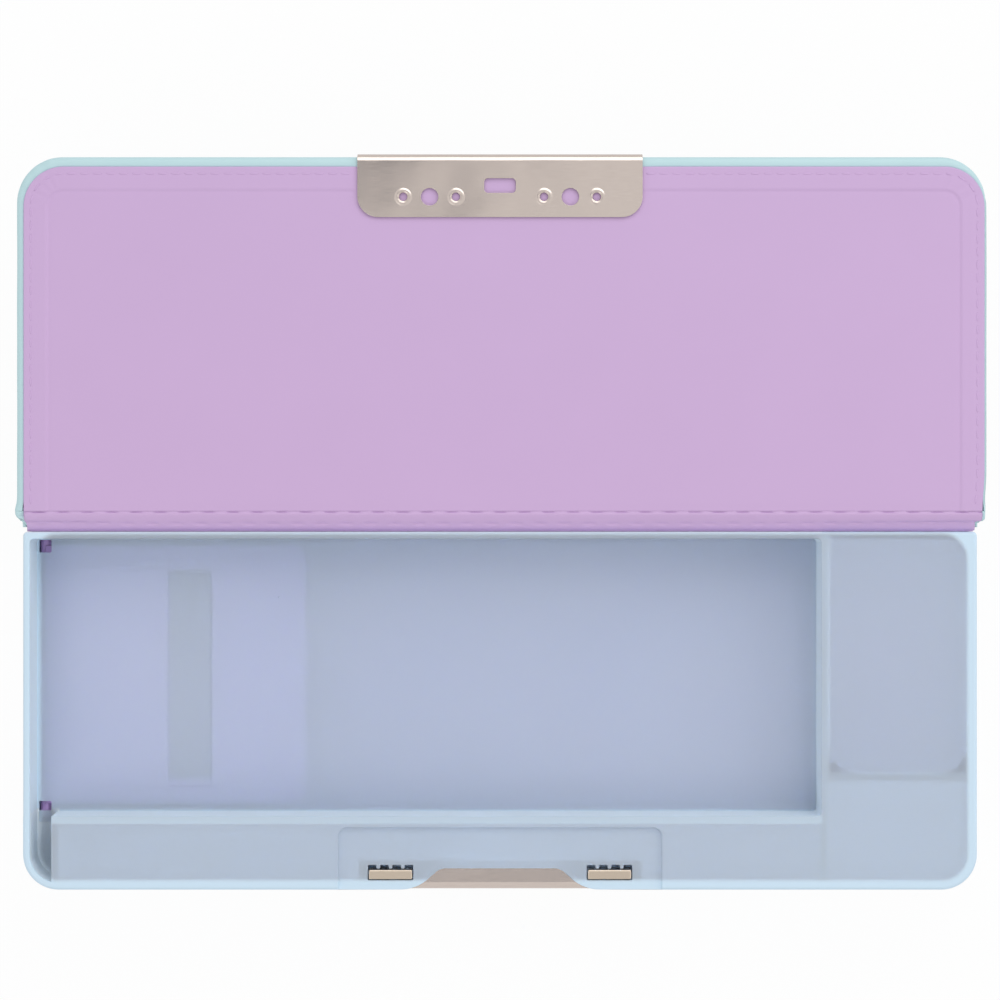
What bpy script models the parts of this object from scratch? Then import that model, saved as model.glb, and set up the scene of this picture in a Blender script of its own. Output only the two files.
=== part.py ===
"""A double-sided pen case with its upper lid open.

A moulded tray is used from both faces. A padded lid closes each face, and both lids hinge on a soft
spine along the back of the tray. The upper lid lies open, level with the rim, and the lower lid is
shut under the tray. A pencil holder swings out of the lower face.

Units are metres. X runs along the case, Y towards the hinges and Z up. The origin is on the face that
the case stands on, under the middle of the tray.
"""

import math

import bmesh
import bpy
from mathutils import Matrix, Vector

# Fits that every piece shares
PLAY = 0.0002  # between layers that are glued or pressed together
CLEARANCE = 0.0003  # between pieces that close on each other
OVERRUN = 0.0020  # how far a cutter runs past the face that it cuts

# Round corners are drawn with more steps the larger they are
CORNER_STEPS = 2
CORNER_STEP_SIZE = 0.0018
EDGE_STEPS = 2
ROUND_STEPS = 16
ARC_STEPS = 8
SHARP_ANGLE = math.radians(50)

# Tray: one moulding, open on both faces
TRAY_LENGTH = 0.2300
TRAY_WIDTH = 0.0863
TRAY_HEIGHT = 0.0270
TRAY_WALL = 0.0017
TRAY_PARTITION = 0.0015
TRAY_PLATFORM = 0.0016
TRAY_EDGE = 0.0008
TRAY_FRONT_CORNER = 0.0086
TRAY_REAR_CORNER = 0.0011
TRAY_INNER_CORNER = 0.0010
RULER_DEPTH = 0.0130
MID_FLOOR = 0.0016
FRONT_STRIP = 0.0178
RIGHT_BLOCK = 0.0376
STRIP_END_GAP = 0.0068
ERASER_WELL_END = 0.0277
ERASER_WELL_CORNER = 0.0080

# Tray floor: two square windows over the holder's pivots, and a shallow panel
WINDOW = 0.0031
WINDOW_SETBACK = 0.0004
PANEL_WIDTH = 0.0106
PANEL_FRONT_GAP = 0.0060
PANEL_REAR_GAP = 0.0087
PANEL_DEPTH = 0.0003

# Tray front: thumb notch, clasp recesses and magnet pockets
NOTCH_MOUTH = 0.0404
NOTCH_BACK = 0.0289
NOTCH_DEPTH = 0.0051
NOTCH_CORNER = 0.0026
RECESS_END_MARGIN = 0.00465
RECESS_REAR_MARGIN = 0.00265
RECESS_DEPTH = 0.0008
RECESS_CORNER = 0.0021
MAGNET_LENGTH = 0.0105
MAGNET_THICKNESS = 0.0023
MAGNET_HEIGHT = 0.0060
MAGNET_EDGE = 0.0003
MAGNET_SETBACK = 0.0025
MAGNET_NOTCH_WALL = 0.00075
MAGNET_END_WALL = 0.00215
MAGNET_REAR_WALL = 0.0010
CRUSH_RIBS = 3
CRUSH_RIB_WIDTH = 0.0009
CRUSH_RIB_DEPTH = 0.0009

# Lid: skin, foam, board and lining in layers, from the outside in
LID_END_OVERHANG = 0.0017
LID_FRONT_OVERHANG = 0.00225
LID_SKIN = 0.0006
LID_FOAM = 0.0010
LID_BOARD = 0.0012
LID_LINING = 0.0006
LID_FRONT_CORNER = 0.0110
LID_REAR_CORNER = 0.0025
LID_OUTER_EDGE = 0.0014
LID_INNER_EDGE = 0.0005
LID_REAR_WALL = 0.0008
BORDER_DROP = 0.00055
LINING_LEFT_BORDER = 0.0013
LINING_RIGHT_BORDER = 0.0005
LINING_FRONT_BORDER = 0.0024
LINING_CORNER = 0.0096
LINING_REAR_CORNER = 0.0012

# Clasp: a strip of plated steel folded over the front of each lid
CLASP_LENGTH = 0.0687
CLASP_THICKNESS = 0.0005
CLASP_INNER_LEG = 0.0153
CLASP_OUTER_LEG = 0.0080
CLASP_CORNER = 0.0050
CLASP_OUTER_CORNER = 0.0030
CLASP_BEND = 0.0003
CLASP_SEAT = 0.0003
CLASP_FLUSH = 0.0001
CLASP_PAD_MARGIN = 0.0020
CLASP_HOLE = 0.0042
CLASP_HOLE_SPACING = 0.0339
CLASP_HOLE_LINE = 0.0104
STAKE_HOLE = 0.0020
STAKE_MOUTH = 0.0036
STAKE_DEPTH = 0.0003
STAKE_PITCH = 0.0127
SLOT_LENGTH = 0.0076
SLOT_WIDTH = 0.0035
SLOT_CORNER = 0.0009
SLOT_LINE = 0.0077

# Hinges: the skin and the lining run on bare between each lid and the spine
HINGE_SETBACK = 0.0009
HINGE_REACH = 0.0040
HINGE_SKIN_OVERHANG = 0.0005
HINGE_LINING_INSET = 0.0002
OPEN_LINING_BEND = 0.0016
OPEN_SKIN_BEND = 0.0010
SHUT_SKIN_BEND = 0.0038

# Spine: a stiff strip behind the tray, in the same layers as the lids
SPINE_BOARD = 0.0012
SPINE_END = 0.0024
SPINE_CORNER = 0.0010

# Pencil holder: a plate on a pivot rod, with a row of snap clips
HOLDER_LENGTH = 0.0638
HOLDER_PLATE = 0.0015
HOLDER_CORNER = 0.0030
HOLDER_SIDE_PLAY = 0.0018
HOLDER_SLOT_GAP = 0.0024
HOLDER_SLOT_MARGIN = 0.0060
HOLDER_SLOT_CORNER = 0.0010
ROD_RADIUS = 0.0013
ROD_SIDE_PLAY = 0.0005
ROD_IN_WALL = 0.0007
ROD_IN_BOSS = 0.0014
SOCKET_END_WALL = 0.0014
SOCKET_UNDER_WALL = 0.0013
CLIP_MARGIN = 0.0010
CLIP_RADIUS = 0.0041
CLIP_LEAST_WALL = 0.0015
CLIP_START = 0.0168
CLIP_LENGTH = 0.0111
CLIP_WRAP = math.radians(25)

# Places that follow from the sizes above
LID_THICKNESS = LID_SKIN + LID_FOAM + LID_BOARD + LID_LINING + 3 * PLAY
SEAT_B = LID_THICKNESS
TRAY_BOTTOM = SEAT_B + CLEARANCE
TRAY_TOP = TRAY_BOTTOM + TRAY_HEIGHT
SEAT_A = TRAY_TOP + CLEARANCE
TRAY_LEFT = -TRAY_LENGTH / 2
TRAY_RIGHT = TRAY_LENGTH / 2
TRAY_FRONT = -TRAY_WIDTH / 2
TRAY_REAR = TRAY_WIDTH / 2
HINGE_Y = TRAY_REAR + HINGE_SETBACK
HINGE_LENGTH = TRAY_LENGTH + 2 * HINGE_SKIN_OVERHANG
HINGE_LINING_LENGTH = TRAY_LENGTH - 2 * HINGE_LINING_INSET
LID_LENGTH = TRAY_LENGTH + 2 * LID_END_OVERHANG
LID_FRONT = TRAY_WIDTH + HINGE_SETBACK + LID_FRONT_OVERHANG
BAY_LEFT = TRAY_LEFT + TRAY_WALL
BAY_RIGHT = TRAY_RIGHT - RIGHT_BLOCK
BAY_FRONT = TRAY_FRONT + FRONT_STRIP
BAY_REAR = TRAY_REAR - TRAY_WALL
STRIP_LEFT = TRAY_LEFT + STRIP_END_GAP
INNER_FRONT = TRAY_FRONT + TRAY_WALL
FLOOR_TOP = TRAY_TOP - RULER_DEPTH
FLOOR_UNDER = FLOOR_TOP - MID_FLOOR
PLATFORM_UNDER = TRAY_TOP - TRAY_PLATFORM
CLASP_PROUD = CLASP_THICKNESS + PLAY - CLASP_SEAT
SHUT_CLASP_DROP = CLASP_PROUD - CLEARANCE
MAGNET_DROP = SHUT_CLASP_DROP + CLEARANCE
MAGNET_SPACING = NOTCH_MOUTH + MAGNET_LENGTH + 2 * (MAGNET_NOTCH_WALL + PLAY)
FRONT_BOSS_LENGTH = MAGNET_SPACING + MAGNET_LENGTH + 2 * (PLAY + MAGNET_END_WALL)
POCKET_DEPTH = MAGNET_SETBACK + MAGNET_THICKNESS + PLAY + CRUSH_RIB_DEPTH
RECESS_LENGTH = CLASP_LENGTH + 2 * RECESS_END_MARGIN
RECESS_WIDTH = CLASP_INNER_LEG + RECESS_REAR_MARGIN - LID_FRONT_OVERHANG - PLAY - CLASP_THICKNESS
ROD_X = BAY_LEFT + ROD_RADIUS + ROD_SIDE_PLAY
ROD_Z = FLOOR_UNDER - CLEARANCE - HOLDER_PLATE
HOLDER_MIDDLE = (BAY_FRONT + BAY_REAR) / 2
HOLDER_HALF = (BAY_REAR - BAY_FRONT) / 2 - HOLDER_SIDE_PLAY
CLIP_ROW = 2 * (HOLDER_HALF - CLIP_MARGIN)
CLIP_COUNT = int(CLIP_ROW / (2 * CLIP_RADIUS + CLIP_LEAST_WALL))
CLIP_PITCH = CLIP_ROW / CLIP_COUNT
HOLDER_SLOT_START = CLIP_START + CLIP_LENGTH + HOLDER_SLOT_GAP


def clear_scene():
    """Removes whatever objects the file starts with."""
    for thing in list(bpy.data.objects):
        bpy.data.objects.remove(thing, do_unlink=True)


def finish_of(name, colour, roughness, metallic=0.0):
    """A plain material with one colour, roughness and metallic value."""
    material = bpy.data.materials.new(name)
    material.use_nodes = True
    shader = material.node_tree.nodes["Principled BSDF"]
    shader.inputs["Base Color"].default_value = (*colour, 1.0)
    shader.inputs["Roughness"].default_value = roughness
    shader.inputs["Metallic"].default_value = metallic
    material.diffuse_color = (*colour, 1.0)
    return material


def empty_at(name, place, turn=0.0):
    """An empty on a joint's axis, turned about Z."""
    holder = bpy.data.objects.new(name, None)
    holder.location = place
    holder.rotation_euler = (0, 0, turn)
    bpy.context.collection.objects.link(holder)
    return holder


def rounded_loop(corners, grow=0.0):
    """Points anticlockwise round an outline of (x, y, radius) corners, moved outwards by grow."""
    points = []
    for index, (x, y, radius) in enumerate(corners):
        here = Vector((x, y))
        arriving = (here - Vector(corners[index - 1][:2])).normalized()
        leaving = (Vector(corners[(index + 1) % len(corners)][:2]) - here).normalized()
        turn = math.atan2(arriving.cross(leaving), arriving.dot(leaving))
        out_arriving = Vector((arriving.y, -arriving.x))
        out_leaving = Vector((leaving.y, -leaving.x))
        spread = out_arriving + out_leaving
        corner = here + spread * grow / (1 + out_arriving.dot(out_leaving))
        if radius == 0:
            points.append(corner)
            continue
        side = math.copysign(1, turn)
        bend = max(radius + side * grow, 0)
        start = corner - arriving * bend * math.tan(abs(turn) / 2)
        centre = start - out_arriving * side * bend
        steps = CORNER_STEPS + round(radius / CORNER_STEP_SIZE)
        for step in range(steps + 1):
            swing = Matrix.Rotation(turn * step / steps, 2)
            points.append(centre + swing @ (out_arriving * side * bend))
    return points


def circle(radius, centre_x=0.0, centre_y=0.0, steps=ROUND_STEPS):
    """Points anticlockwise round a circle."""
    turns = [2 * math.pi * step / steps for step in range(steps)]
    return [(centre_x + radius * math.cos(a), centre_y + radius * math.sin(a)) for a in turns]


def loft(name, loops, material=None, parent=None):
    """A closed solid, skinned from each loop of points to the next and capped at both ends."""
    mesh = bpy.data.meshes.new(name)
    shape = bmesh.new()
    rings = []
    for loop in loops:
        corners = [shape.verts.new(point) for point in loop]
        rings.append([shape.edges.new(pair) for pair in zip(corners, corners[1:] + corners[:1])])
    for low, high in zip(rings, rings[1:]):
        bmesh.ops.bridge_loops(shape, edges=low + high)
    for end in (rings[0], rings[-1]):
        bmesh.ops.contextual_create(shape, geom=end)
    bmesh.ops.recalc_face_normals(shape, faces=shape.faces)
    shape.to_mesh(mesh)
    shape.free()
    if material:
        mesh.materials.append(material)
    body = bpy.data.objects.new(name, mesh)
    body.parent = parent
    bpy.context.collection.objects.link(body)
    return body


def prism(name, outline, low, high, material=None, parent=None):
    """An outline in X and Y, raised from low to high."""
    loops = [[(x, y, z) for x, y in outline] for z in (low, high)]
    return loft(name, loops, material, parent)


def bar(name, profile, left, right, material=None, parent=None):
    """A profile in Y and Z, drawn along X from left to right."""
    loops = [[(x, y, z) for y, z in profile] for x in (left, right)]
    return loft(name, loops, material, parent)


def rod(name, radius, x, z, front, rear, material=None, parent=None):
    """A round rod along Y."""
    loops = [[(a, y, b) for a, b in circle(radius, x, z)] for y in (front, rear)]
    return loft(name, loops, material, parent)


def layered(name, corners, layers, material=None, parent=None):
    """An outline carried up through (grow, height) layers."""
    loops = [[(x, y, height) for x, y in rounded_loop(corners, grow)] for grow, height in layers]
    return loft(name, loops, material, parent)


def soft_edges(low, high, low_edge, high_edge):
    """Layers for a slab from low to high with its outer edges rounded."""
    quarter = [math.pi / 2 * step / EDGE_STEPS for step in range(EDGE_STEPS + 1)]
    foot = [(low_edge * (math.sin(a) - 1), low + low_edge * (1 - math.cos(a))) for a in quarter]
    head = [(high_edge * (math.cos(a) - 1), high + high_edge * (math.sin(a) - 1)) for a in quarter]
    return foot + head


def box_corners(left, right, front, rear, radius=0.0):
    """The four corners of a rectangle, anticlockwise."""
    return [(left, front, radius), (right, front, radius), (right, rear, radius), (left, rear, radius)]


def combine(target, other, operation):
    """Cuts other from target, or joins it on."""
    modifier = target.modifiers.new(other.name, "BOOLEAN")
    modifier.operation = operation
    modifier.solver = "EXACT"
    modifier.object = other
    other.hide_render = True
    other.display_type = "WIRE"


def cut(target, *cutters):
    """Takes each cutter's space out of target."""
    for cutter in cutters:
        combine(target, cutter, "DIFFERENCE")


def bay_corners():
    """The main compartment with the narrow channel that runs on past the end of the front strip."""
    arc_centre = TRAY_LEFT + TRAY_FRONT_CORNER
    arc_radius = TRAY_FRONT_CORNER - TRAY_WALL
    arc_front = TRAY_FRONT + TRAY_FRONT_CORNER
    reach = math.sqrt(arc_radius**2 - (arc_centre - STRIP_LEFT) ** 2)
    steps = CORNER_STEPS + round(arc_radius / CORNER_STEP_SIZE)
    sweep = math.acos((arc_centre - STRIP_LEFT) / arc_radius)
    arc = []
    for step in range(steps):
        angle = math.pi + sweep * step / steps
        x = arc_centre + arc_radius * math.cos(angle)
        arc.append((x, arc_front + arc_radius * math.sin(angle), 0))
    return [
        (BAY_LEFT, BAY_REAR, TRAY_INNER_CORNER),
        *arc,
        (STRIP_LEFT, arc_front - reach, 0),
        (STRIP_LEFT, BAY_FRONT, 0),
        (BAY_RIGHT, BAY_FRONT, TRAY_INNER_CORNER),
        (BAY_RIGHT, BAY_REAR, TRAY_INNER_CORNER),
    ]


def pen_channel_corners():
    """The long compartment under the front strip, which steps round the thickened front wall."""
    left = STRIP_LEFT + TRAY_PARTITION
    rear = BAY_FRONT - TRAY_PARTITION
    boss = FRONT_BOSS_LENGTH / 2
    boss_rear = TRAY_FRONT + POCKET_DEPTH + MAGNET_REAR_WALL
    return [
        (left, rear, TRAY_INNER_CORNER),
        (left, INNER_FRONT, TRAY_INNER_CORNER),
        (-boss, INNER_FRONT, 0),
        (-boss, boss_rear, TRAY_INNER_CORNER),
        (boss, boss_rear, TRAY_INNER_CORNER),
        (boss, INNER_FRONT, 0),
        (BAY_RIGHT, INNER_FRONT, TRAY_INNER_CORNER),
        (BAY_RIGHT, rear, TRAY_INNER_CORNER),
    ]


def well_cutters():
    """The eraser well and the clip well under the block at the right-hand end."""
    left = BAY_RIGHT + TRAY_PARTITION
    right = TRAY_RIGHT - TRAY_WALL
    eraser_front = TRAY_FRONT + ERASER_WELL_END
    eraser = [
        (left, BAY_REAR, TRAY_INNER_CORNER),
        (left, eraser_front, ERASER_WELL_CORNER),
        (right, eraser_front, ERASER_WELL_CORNER),
        (right, BAY_REAR, TRAY_INNER_CORNER),
    ]
    clips = [
        (left, eraser_front - TRAY_PARTITION, TRAY_INNER_CORNER),
        (left, INNER_FRONT, TRAY_INNER_CORNER),
        (right, INNER_FRONT, TRAY_FRONT_CORNER - TRAY_WALL),
        (right, eraser_front - TRAY_PARTITION, TRAY_INNER_CORNER),
    ]
    low = TRAY_BOTTOM - OVERRUN
    return [
        prism("eraser_well_cutter", rounded_loop(eraser), low, PLATFORM_UNDER),
        prism("clip_well_cutter", rounded_loop(clips), low, PLATFORM_UNDER),
    ]


def floor_cutters():
    """The two windows through the middle floor, and the shallow panel on its upper face."""
    left = BAY_LEFT + WINDOW_SETBACK
    rear_start = BAY_REAR - WINDOW_SETBACK - WINDOW
    front_start = BAY_FRONT + WINDOW_SETBACK
    cutters = []
    for name, start in (("rear_window", rear_start), ("front_window", front_start)):
        corners = box_corners(left, left + WINDOW, start, start + WINDOW)
        low = FLOOR_UNDER - OVERRUN
        cutters.append(prism(name + "_cutter", rounded_loop(corners), low, FLOOR_TOP + OVERRUN))
    panel_left = ROD_X + HOLDER_SLOT_START
    panel_front = BAY_FRONT + PANEL_FRONT_GAP
    panel_rear = BAY_REAR - PANEL_REAR_GAP
    corners = box_corners(panel_left, panel_left + PANEL_WIDTH, panel_front, panel_rear)
    low = FLOOR_TOP - PANEL_DEPTH
    cutters.append(prism("panel_cutter", rounded_loop(corners), low, FLOOR_TOP + OVERRUN))
    return cutters


def socket_boss():
    """The block under the middle floor that holds the front end of the pivot rod."""
    left = BAY_LEFT - TRAY_WALL / 2
    right = STRIP_LEFT + TRAY_PARTITION / 2
    front = BAY_FRONT - ROD_IN_BOSS - PLAY - SOCKET_END_WALL
    corners = box_corners(left, right, front, BAY_FRONT)
    low = ROD_Z - ROD_RADIUS - PLAY - SOCKET_UNDER_WALL
    return prism("socket_boss_block", rounded_loop(corners), low, FLOOR_UNDER + MID_FLOOR / 2)


def socket_cutters():
    """Blind holes for the ends of the pivot rod."""
    radius = ROD_RADIUS + PLAY
    rear_end = BAY_REAR + ROD_IN_WALL + PLAY
    front_end = BAY_FRONT - ROD_IN_BOSS - PLAY
    return [
        rod("rear_socket_cutter", radius, ROD_X, ROD_Z, BAY_REAR - OVERRUN, rear_end),
        rod("front_socket_cutter", radius, ROD_X, ROD_Z, front_end, BAY_FRONT + OVERRUN),
    ]


def notch_cutter():
    """The tapered thumb notch down the front."""
    flare = (NOTCH_MOUTH - NOTCH_BACK) / 2 / NOTCH_DEPTH
    mouth = NOTCH_MOUTH / 2 + flare * OVERRUN
    corners = [
        (-mouth, TRAY_FRONT - OVERRUN, 0),
        (mouth, TRAY_FRONT - OVERRUN, 0),
        (NOTCH_BACK / 2, TRAY_FRONT + NOTCH_DEPTH, NOTCH_CORNER),
        (-NOTCH_BACK / 2, TRAY_FRONT + NOTCH_DEPTH, NOTCH_CORNER),
    ]
    return prism(
        "notch_cutter", rounded_loop(corners), TRAY_BOTTOM - OVERRUN, TRAY_TOP + OVERRUN
    )


def recess_cutters():
    """A shallow seat for the clasp on each face, at the front."""
    half = RECESS_LENGTH / 2
    corners = [
        (-half, TRAY_FRONT - OVERRUN, 0),
        (half, TRAY_FRONT - OVERRUN, 0),
        (half, TRAY_FRONT + RECESS_WIDTH, RECESS_CORNER),
        (-half, TRAY_FRONT + RECESS_WIDTH, RECESS_CORNER),
    ]
    outline = rounded_loop(corners)
    return [
        prism("recess_a_cutter", outline, TRAY_TOP - RECESS_DEPTH, TRAY_TOP + OVERRUN),
        prism("recess_b_cutter", outline, TRAY_BOTTOM - OVERRUN, TRAY_BOTTOM + RECESS_DEPTH),
    ]


def pocket_corners(middle):
    """A magnet pocket with crush ribs along its rear wall."""
    half = MAGNET_LENGTH / 2 + PLAY
    front = TRAY_FRONT + MAGNET_SETBACK - PLAY
    rear = TRAY_FRONT + POCKET_DEPTH
    ribs = rear - CRUSH_RIB_DEPTH
    slot = (2 * half - CRUSH_RIBS * CRUSH_RIB_WIDTH) / (CRUSH_RIBS + 1)
    corners = [(middle - half, front, 0), (middle + half, front, 0), (middle + half, rear, 0)]
    edge = middle + half
    for _ in range(CRUSH_RIBS):
        edge -= slot
        corners += [(edge, rear, 0), (edge, ribs, 0)]
        edge -= CRUSH_RIB_WIDTH
        corners += [(edge, ribs, 0), (edge, rear, 0)]
    corners.append((middle - half, rear, 0))
    return corners


def magnet_places():
    """Name, middle, lowest and highest point of each magnet, then which way its pocket opens."""
    side = MAGNET_SPACING / 2
    top = TRAY_TOP - MAGNET_DROP
    bottom = TRAY_BOTTOM + MAGNET_DROP
    return [
        ("magnet_a_left", -side, top - MAGNET_HEIGHT, top, 1),
        ("magnet_a_right", side, top - MAGNET_HEIGHT, top, 1),
        ("magnet_b_left", -side, bottom, bottom + MAGNET_HEIGHT, -1),
        ("magnet_b_right", side, bottom, bottom + MAGNET_HEIGHT, -1),
    ]


def pocket_cutters():
    """Four blind pockets in the thickened front wall."""
    cutters = []
    for name, middle, low, high, opens in magnet_places():
        floor = low - PLAY if opens > 0 else high + PLAY
        mouth = high + OVERRUN if opens > 0 else low - OVERRUN
        outline = rounded_loop(pocket_corners(middle))
        cutters.append(prism(name + "_pocket_cutter", outline, min(floor, mouth), max(floor, mouth)))
    return cutters


def build_tray(material):
    """The moulding: an outer shell, a middle floor, two platforms and the walls between the wells."""
    corners = [
        (TRAY_LEFT, TRAY_FRONT, TRAY_FRONT_CORNER),
        (TRAY_RIGHT, TRAY_FRONT, TRAY_FRONT_CORNER),
        (TRAY_RIGHT, TRAY_REAR, TRAY_REAR_CORNER),
        (TRAY_LEFT, TRAY_REAR, TRAY_REAR_CORNER),
    ]
    layers = soft_edges(TRAY_BOTTOM, TRAY_TOP, TRAY_EDGE, TRAY_EDGE)
    tray = layered("tray", corners, layers, material)
    bay = rounded_loop(bay_corners())
    pens = rounded_loop(pen_channel_corners())
    low = TRAY_BOTTOM - OVERRUN
    cut(tray, prism("ruler_bay_cutter", bay, FLOOR_TOP, TRAY_TOP + OVERRUN))
    cut(tray, prism("pencil_bay_cutter", bay, low, FLOOR_UNDER))
    cut(tray, prism("pen_channel_cutter", pens, low, PLATFORM_UNDER))
    cut(tray, *well_cutters())
    combine(tray, socket_boss(), "UNION")
    cut(tray, *socket_cutters(), *floor_cutters(), *recess_cutters())
    cut(tray, notch_cutter(), *pocket_cutters())


def build_magnets(material):
    """Four plated bars pressed into the front wall, two for each lid."""
    front = TRAY_FRONT + MAGNET_SETBACK
    half = MAGNET_LENGTH / 2
    for name, middle, low, high, _ in magnet_places():
        corners = box_corners(
            middle - half, middle + half, front, front + MAGNET_THICKNESS, MAGNET_EDGE
        )
        layered(name, corners, soft_edges(low, high, MAGNET_EDGE, MAGNET_EDGE), material)


def build_spine(lining, board, skin):
    """The stiff strip behind the tray: lining, board and skin, glued to the rear wall."""
    y = TRAY_REAR + CLEARANCE
    ends = (SEAT_B + SPINE_END, SEAT_A - SPINE_END)
    for name, thickness, length, material in (
        ("spine_lining", LID_LINING, HINGE_LINING_LENGTH, lining),
        ("spine_board", SPINE_BOARD, TRAY_LENGTH, board),
        ("spine_skin", LID_SKIN, HINGE_LENGTH, skin),
    ):
        half = length / 2
        middle = (ends[0] + ends[1]) / 2
        tall = (ends[1] - ends[0]) / 2
        outline = rounded_loop(box_corners(-half, half, middle - tall, middle + tall, SPINE_CORNER))
        loops = [[(x, depth, z) for x, z in outline] for depth in (y, y + thickness)]
        loft(name, loops, material)
        y += thickness + PLAY


def bend_profile(run_end, drop_end, centre, outer, inner, across, along):
    """A strip that runs level, turns a quarter about centre and then runs upright.

    across is the side of the centre that the upright run is on, and along is 1 where the level run is
    above the centre and -1 where it is below.
    """
    y, z = centre
    quarter = [math.pi / 2 * step / ARC_STEPS for step in range(ARC_STEPS + 1)]
    sides = []
    for radius in (outer, inner):
        arc = [(y + across * radius * math.sin(a), z + along * radius * math.cos(a)) for a in quarter]
        sides.append([(run_end, z + along * radius), *arc, (y + across * radius, drop_end)])
    return sides[0] + sides[1][::-1]


def build_hinges(lining, skin):
    """The bare skin and lining that bend between the spine and each lid."""
    spine_in = CLEARANCE - HINGE_SETBACK
    spine_out = spine_in + LID_LINING + SPINE_BOARD + LID_SKIN + 2 * PLAY
    run = HINGE_REACH - PLAY
    drop = SPINE_END - PLAY
    top = empty_at("hinge_a_axis", (0, HINGE_Y, SEAT_A))
    bottom = empty_at("hinge_b_axis", (0, HINGE_Y, SEAT_B))
    half_lining = HINGE_LINING_LENGTH / 2
    half_skin = HINGE_LENGTH / 2
    outer = OPEN_LINING_BEND
    centre = (spine_in + outer, -outer)
    profile = bend_profile(run, -drop, centre, outer, outer - LID_LINING, -1, 1)
    bar("hinge_a_lining", profile, -half_lining, half_lining, lining, top)
    inner = OPEN_SKIN_BEND - LID_SKIN
    centre = (spine_out + inner, -LID_LINING - CLEARANCE - OPEN_SKIN_BEND)
    profile = bend_profile(run, -drop, centre, OPEN_SKIN_BEND, inner, -1, 1)
    bar("hinge_a_skin", profile, -half_skin, half_skin, skin, top)
    centre = (spine_in - CLEARANCE, CLEARANCE)
    profile = bend_profile(-run, drop, centre, CLEARANCE + LID_LINING, CLEARANCE, 1, -1)
    bar("hinge_b_lining", profile, -half_lining, half_lining, lining, bottom)
    lift = LID_THICKNESS - PLAY / 2
    centre = (spine_out - SHUT_SKIN_BEND, SHUT_SKIN_BEND - lift)
    profile = bend_profile(-run, drop, centre, SHUT_SKIN_BEND, SHUT_SKIN_BEND - LID_SKIN, 1, -1)
    bar("hinge_b_skin", profile, -half_skin, half_skin, skin, bottom)


def lid_corners():
    """The lid's outline, with y measured from the hinge axis towards the front edge."""
    half = LID_LENGTH / 2
    return [
        (-half, HINGE_REACH, LID_REAR_CORNER),
        (half, HINGE_REACH, LID_REAR_CORNER),
        (half, LID_FRONT, LID_FRONT_CORNER),
        (-half, LID_FRONT, LID_FRONT_CORNER),
    ]


def lining_corners(rear):
    """The lining's and the board's outline inside the border of skin, from a given rear edge."""
    left = -LID_LENGTH / 2 + LINING_LEFT_BORDER
    right = LID_LENGTH / 2 - LINING_RIGHT_BORDER
    front = LID_FRONT - LINING_FRONT_BORDER
    return [
        (left, rear, LINING_REAR_CORNER),
        (right, rear, LINING_REAR_CORNER),
        (right, front, LINING_CORNER),
        (left, front, LINING_CORNER),
    ]


def foam_corners(rear):
    """The foam's outline, which leaves a bare patch under the clasp."""
    left_rear, right_rear, right_front, left_front = lining_corners(rear)
    half = CLASP_LENGTH / 2 + CLASP_PAD_MARGIN
    front = right_front[1]
    patch = LID_FRONT - CLASP_OUTER_LEG - CLASP_PAD_MARGIN
    notch = [(half, front, 0), (half, patch, 0), (-half, patch, 0), (-half, front, 0)]
    return [left_rear, right_rear, right_front, *notch, left_front]


def clasp_seat(name, low, high, leg, corner, parent):
    """The space that one leg of the clasp and its fold take out of the lid."""
    half = CLASP_LENGTH / 2 + PLAY
    rear = LID_FRONT + CLASP_THICKNESS - leg
    front = LID_FRONT + OVERRUN
    corners = [
        (-half, rear, corner + PLAY),
        (half, rear, corner + PLAY),
        (half, front, 0),
        (-half, front, 0),
    ]
    return prism(name, rounded_loop(corners), low, high, parent=parent)


def build_lid_skin(name, axis, material):
    """The outer skin, turned up round the board and pressed down under the clasp."""
    skin = layered(
        name + "_skin",
        lid_corners(),
        soft_edges(-LID_THICKNESS, -BORDER_DROP, LID_OUTER_EDGE, LID_INNER_EDGE),
        material,
        axis,
    )
    foam_floor = LID_SKIN - LID_THICKNESS
    board_floor = foam_floor + PLAY + LID_FOAM
    lining_floor = -LID_LINING - PLAY
    rear = HINGE_REACH + LID_REAR_WALL
    foam = rounded_loop(foam_corners(rear), PLAY)
    board = rounded_loop(lining_corners(rear), PLAY)
    lining = rounded_loop(lining_corners(HINGE_REACH - OVERRUN), PLAY)
    lap = PLAY / 2
    cut(skin, prism(name + "_foam_cutter", foam, foam_floor, board_floor + lap, parent=axis))
    cut(skin, prism(name + "_board_cutter", board, board_floor, lining_floor + lap, parent=axis))
    cut(skin, prism(name + "_lining_cutter", lining, lining_floor, OVERRUN, parent=axis))
    pressed = CLASP_THICKNESS + PLAY + CLASP_FLUSH - LID_THICKNESS
    below = -LID_THICKNESS - OVERRUN
    outer_seat = clasp_seat(
        name + "_outer_seat", below, pressed, CLASP_OUTER_LEG, CLASP_OUTER_CORNER, axis
    )
    cut(skin, outer_seat)


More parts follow.
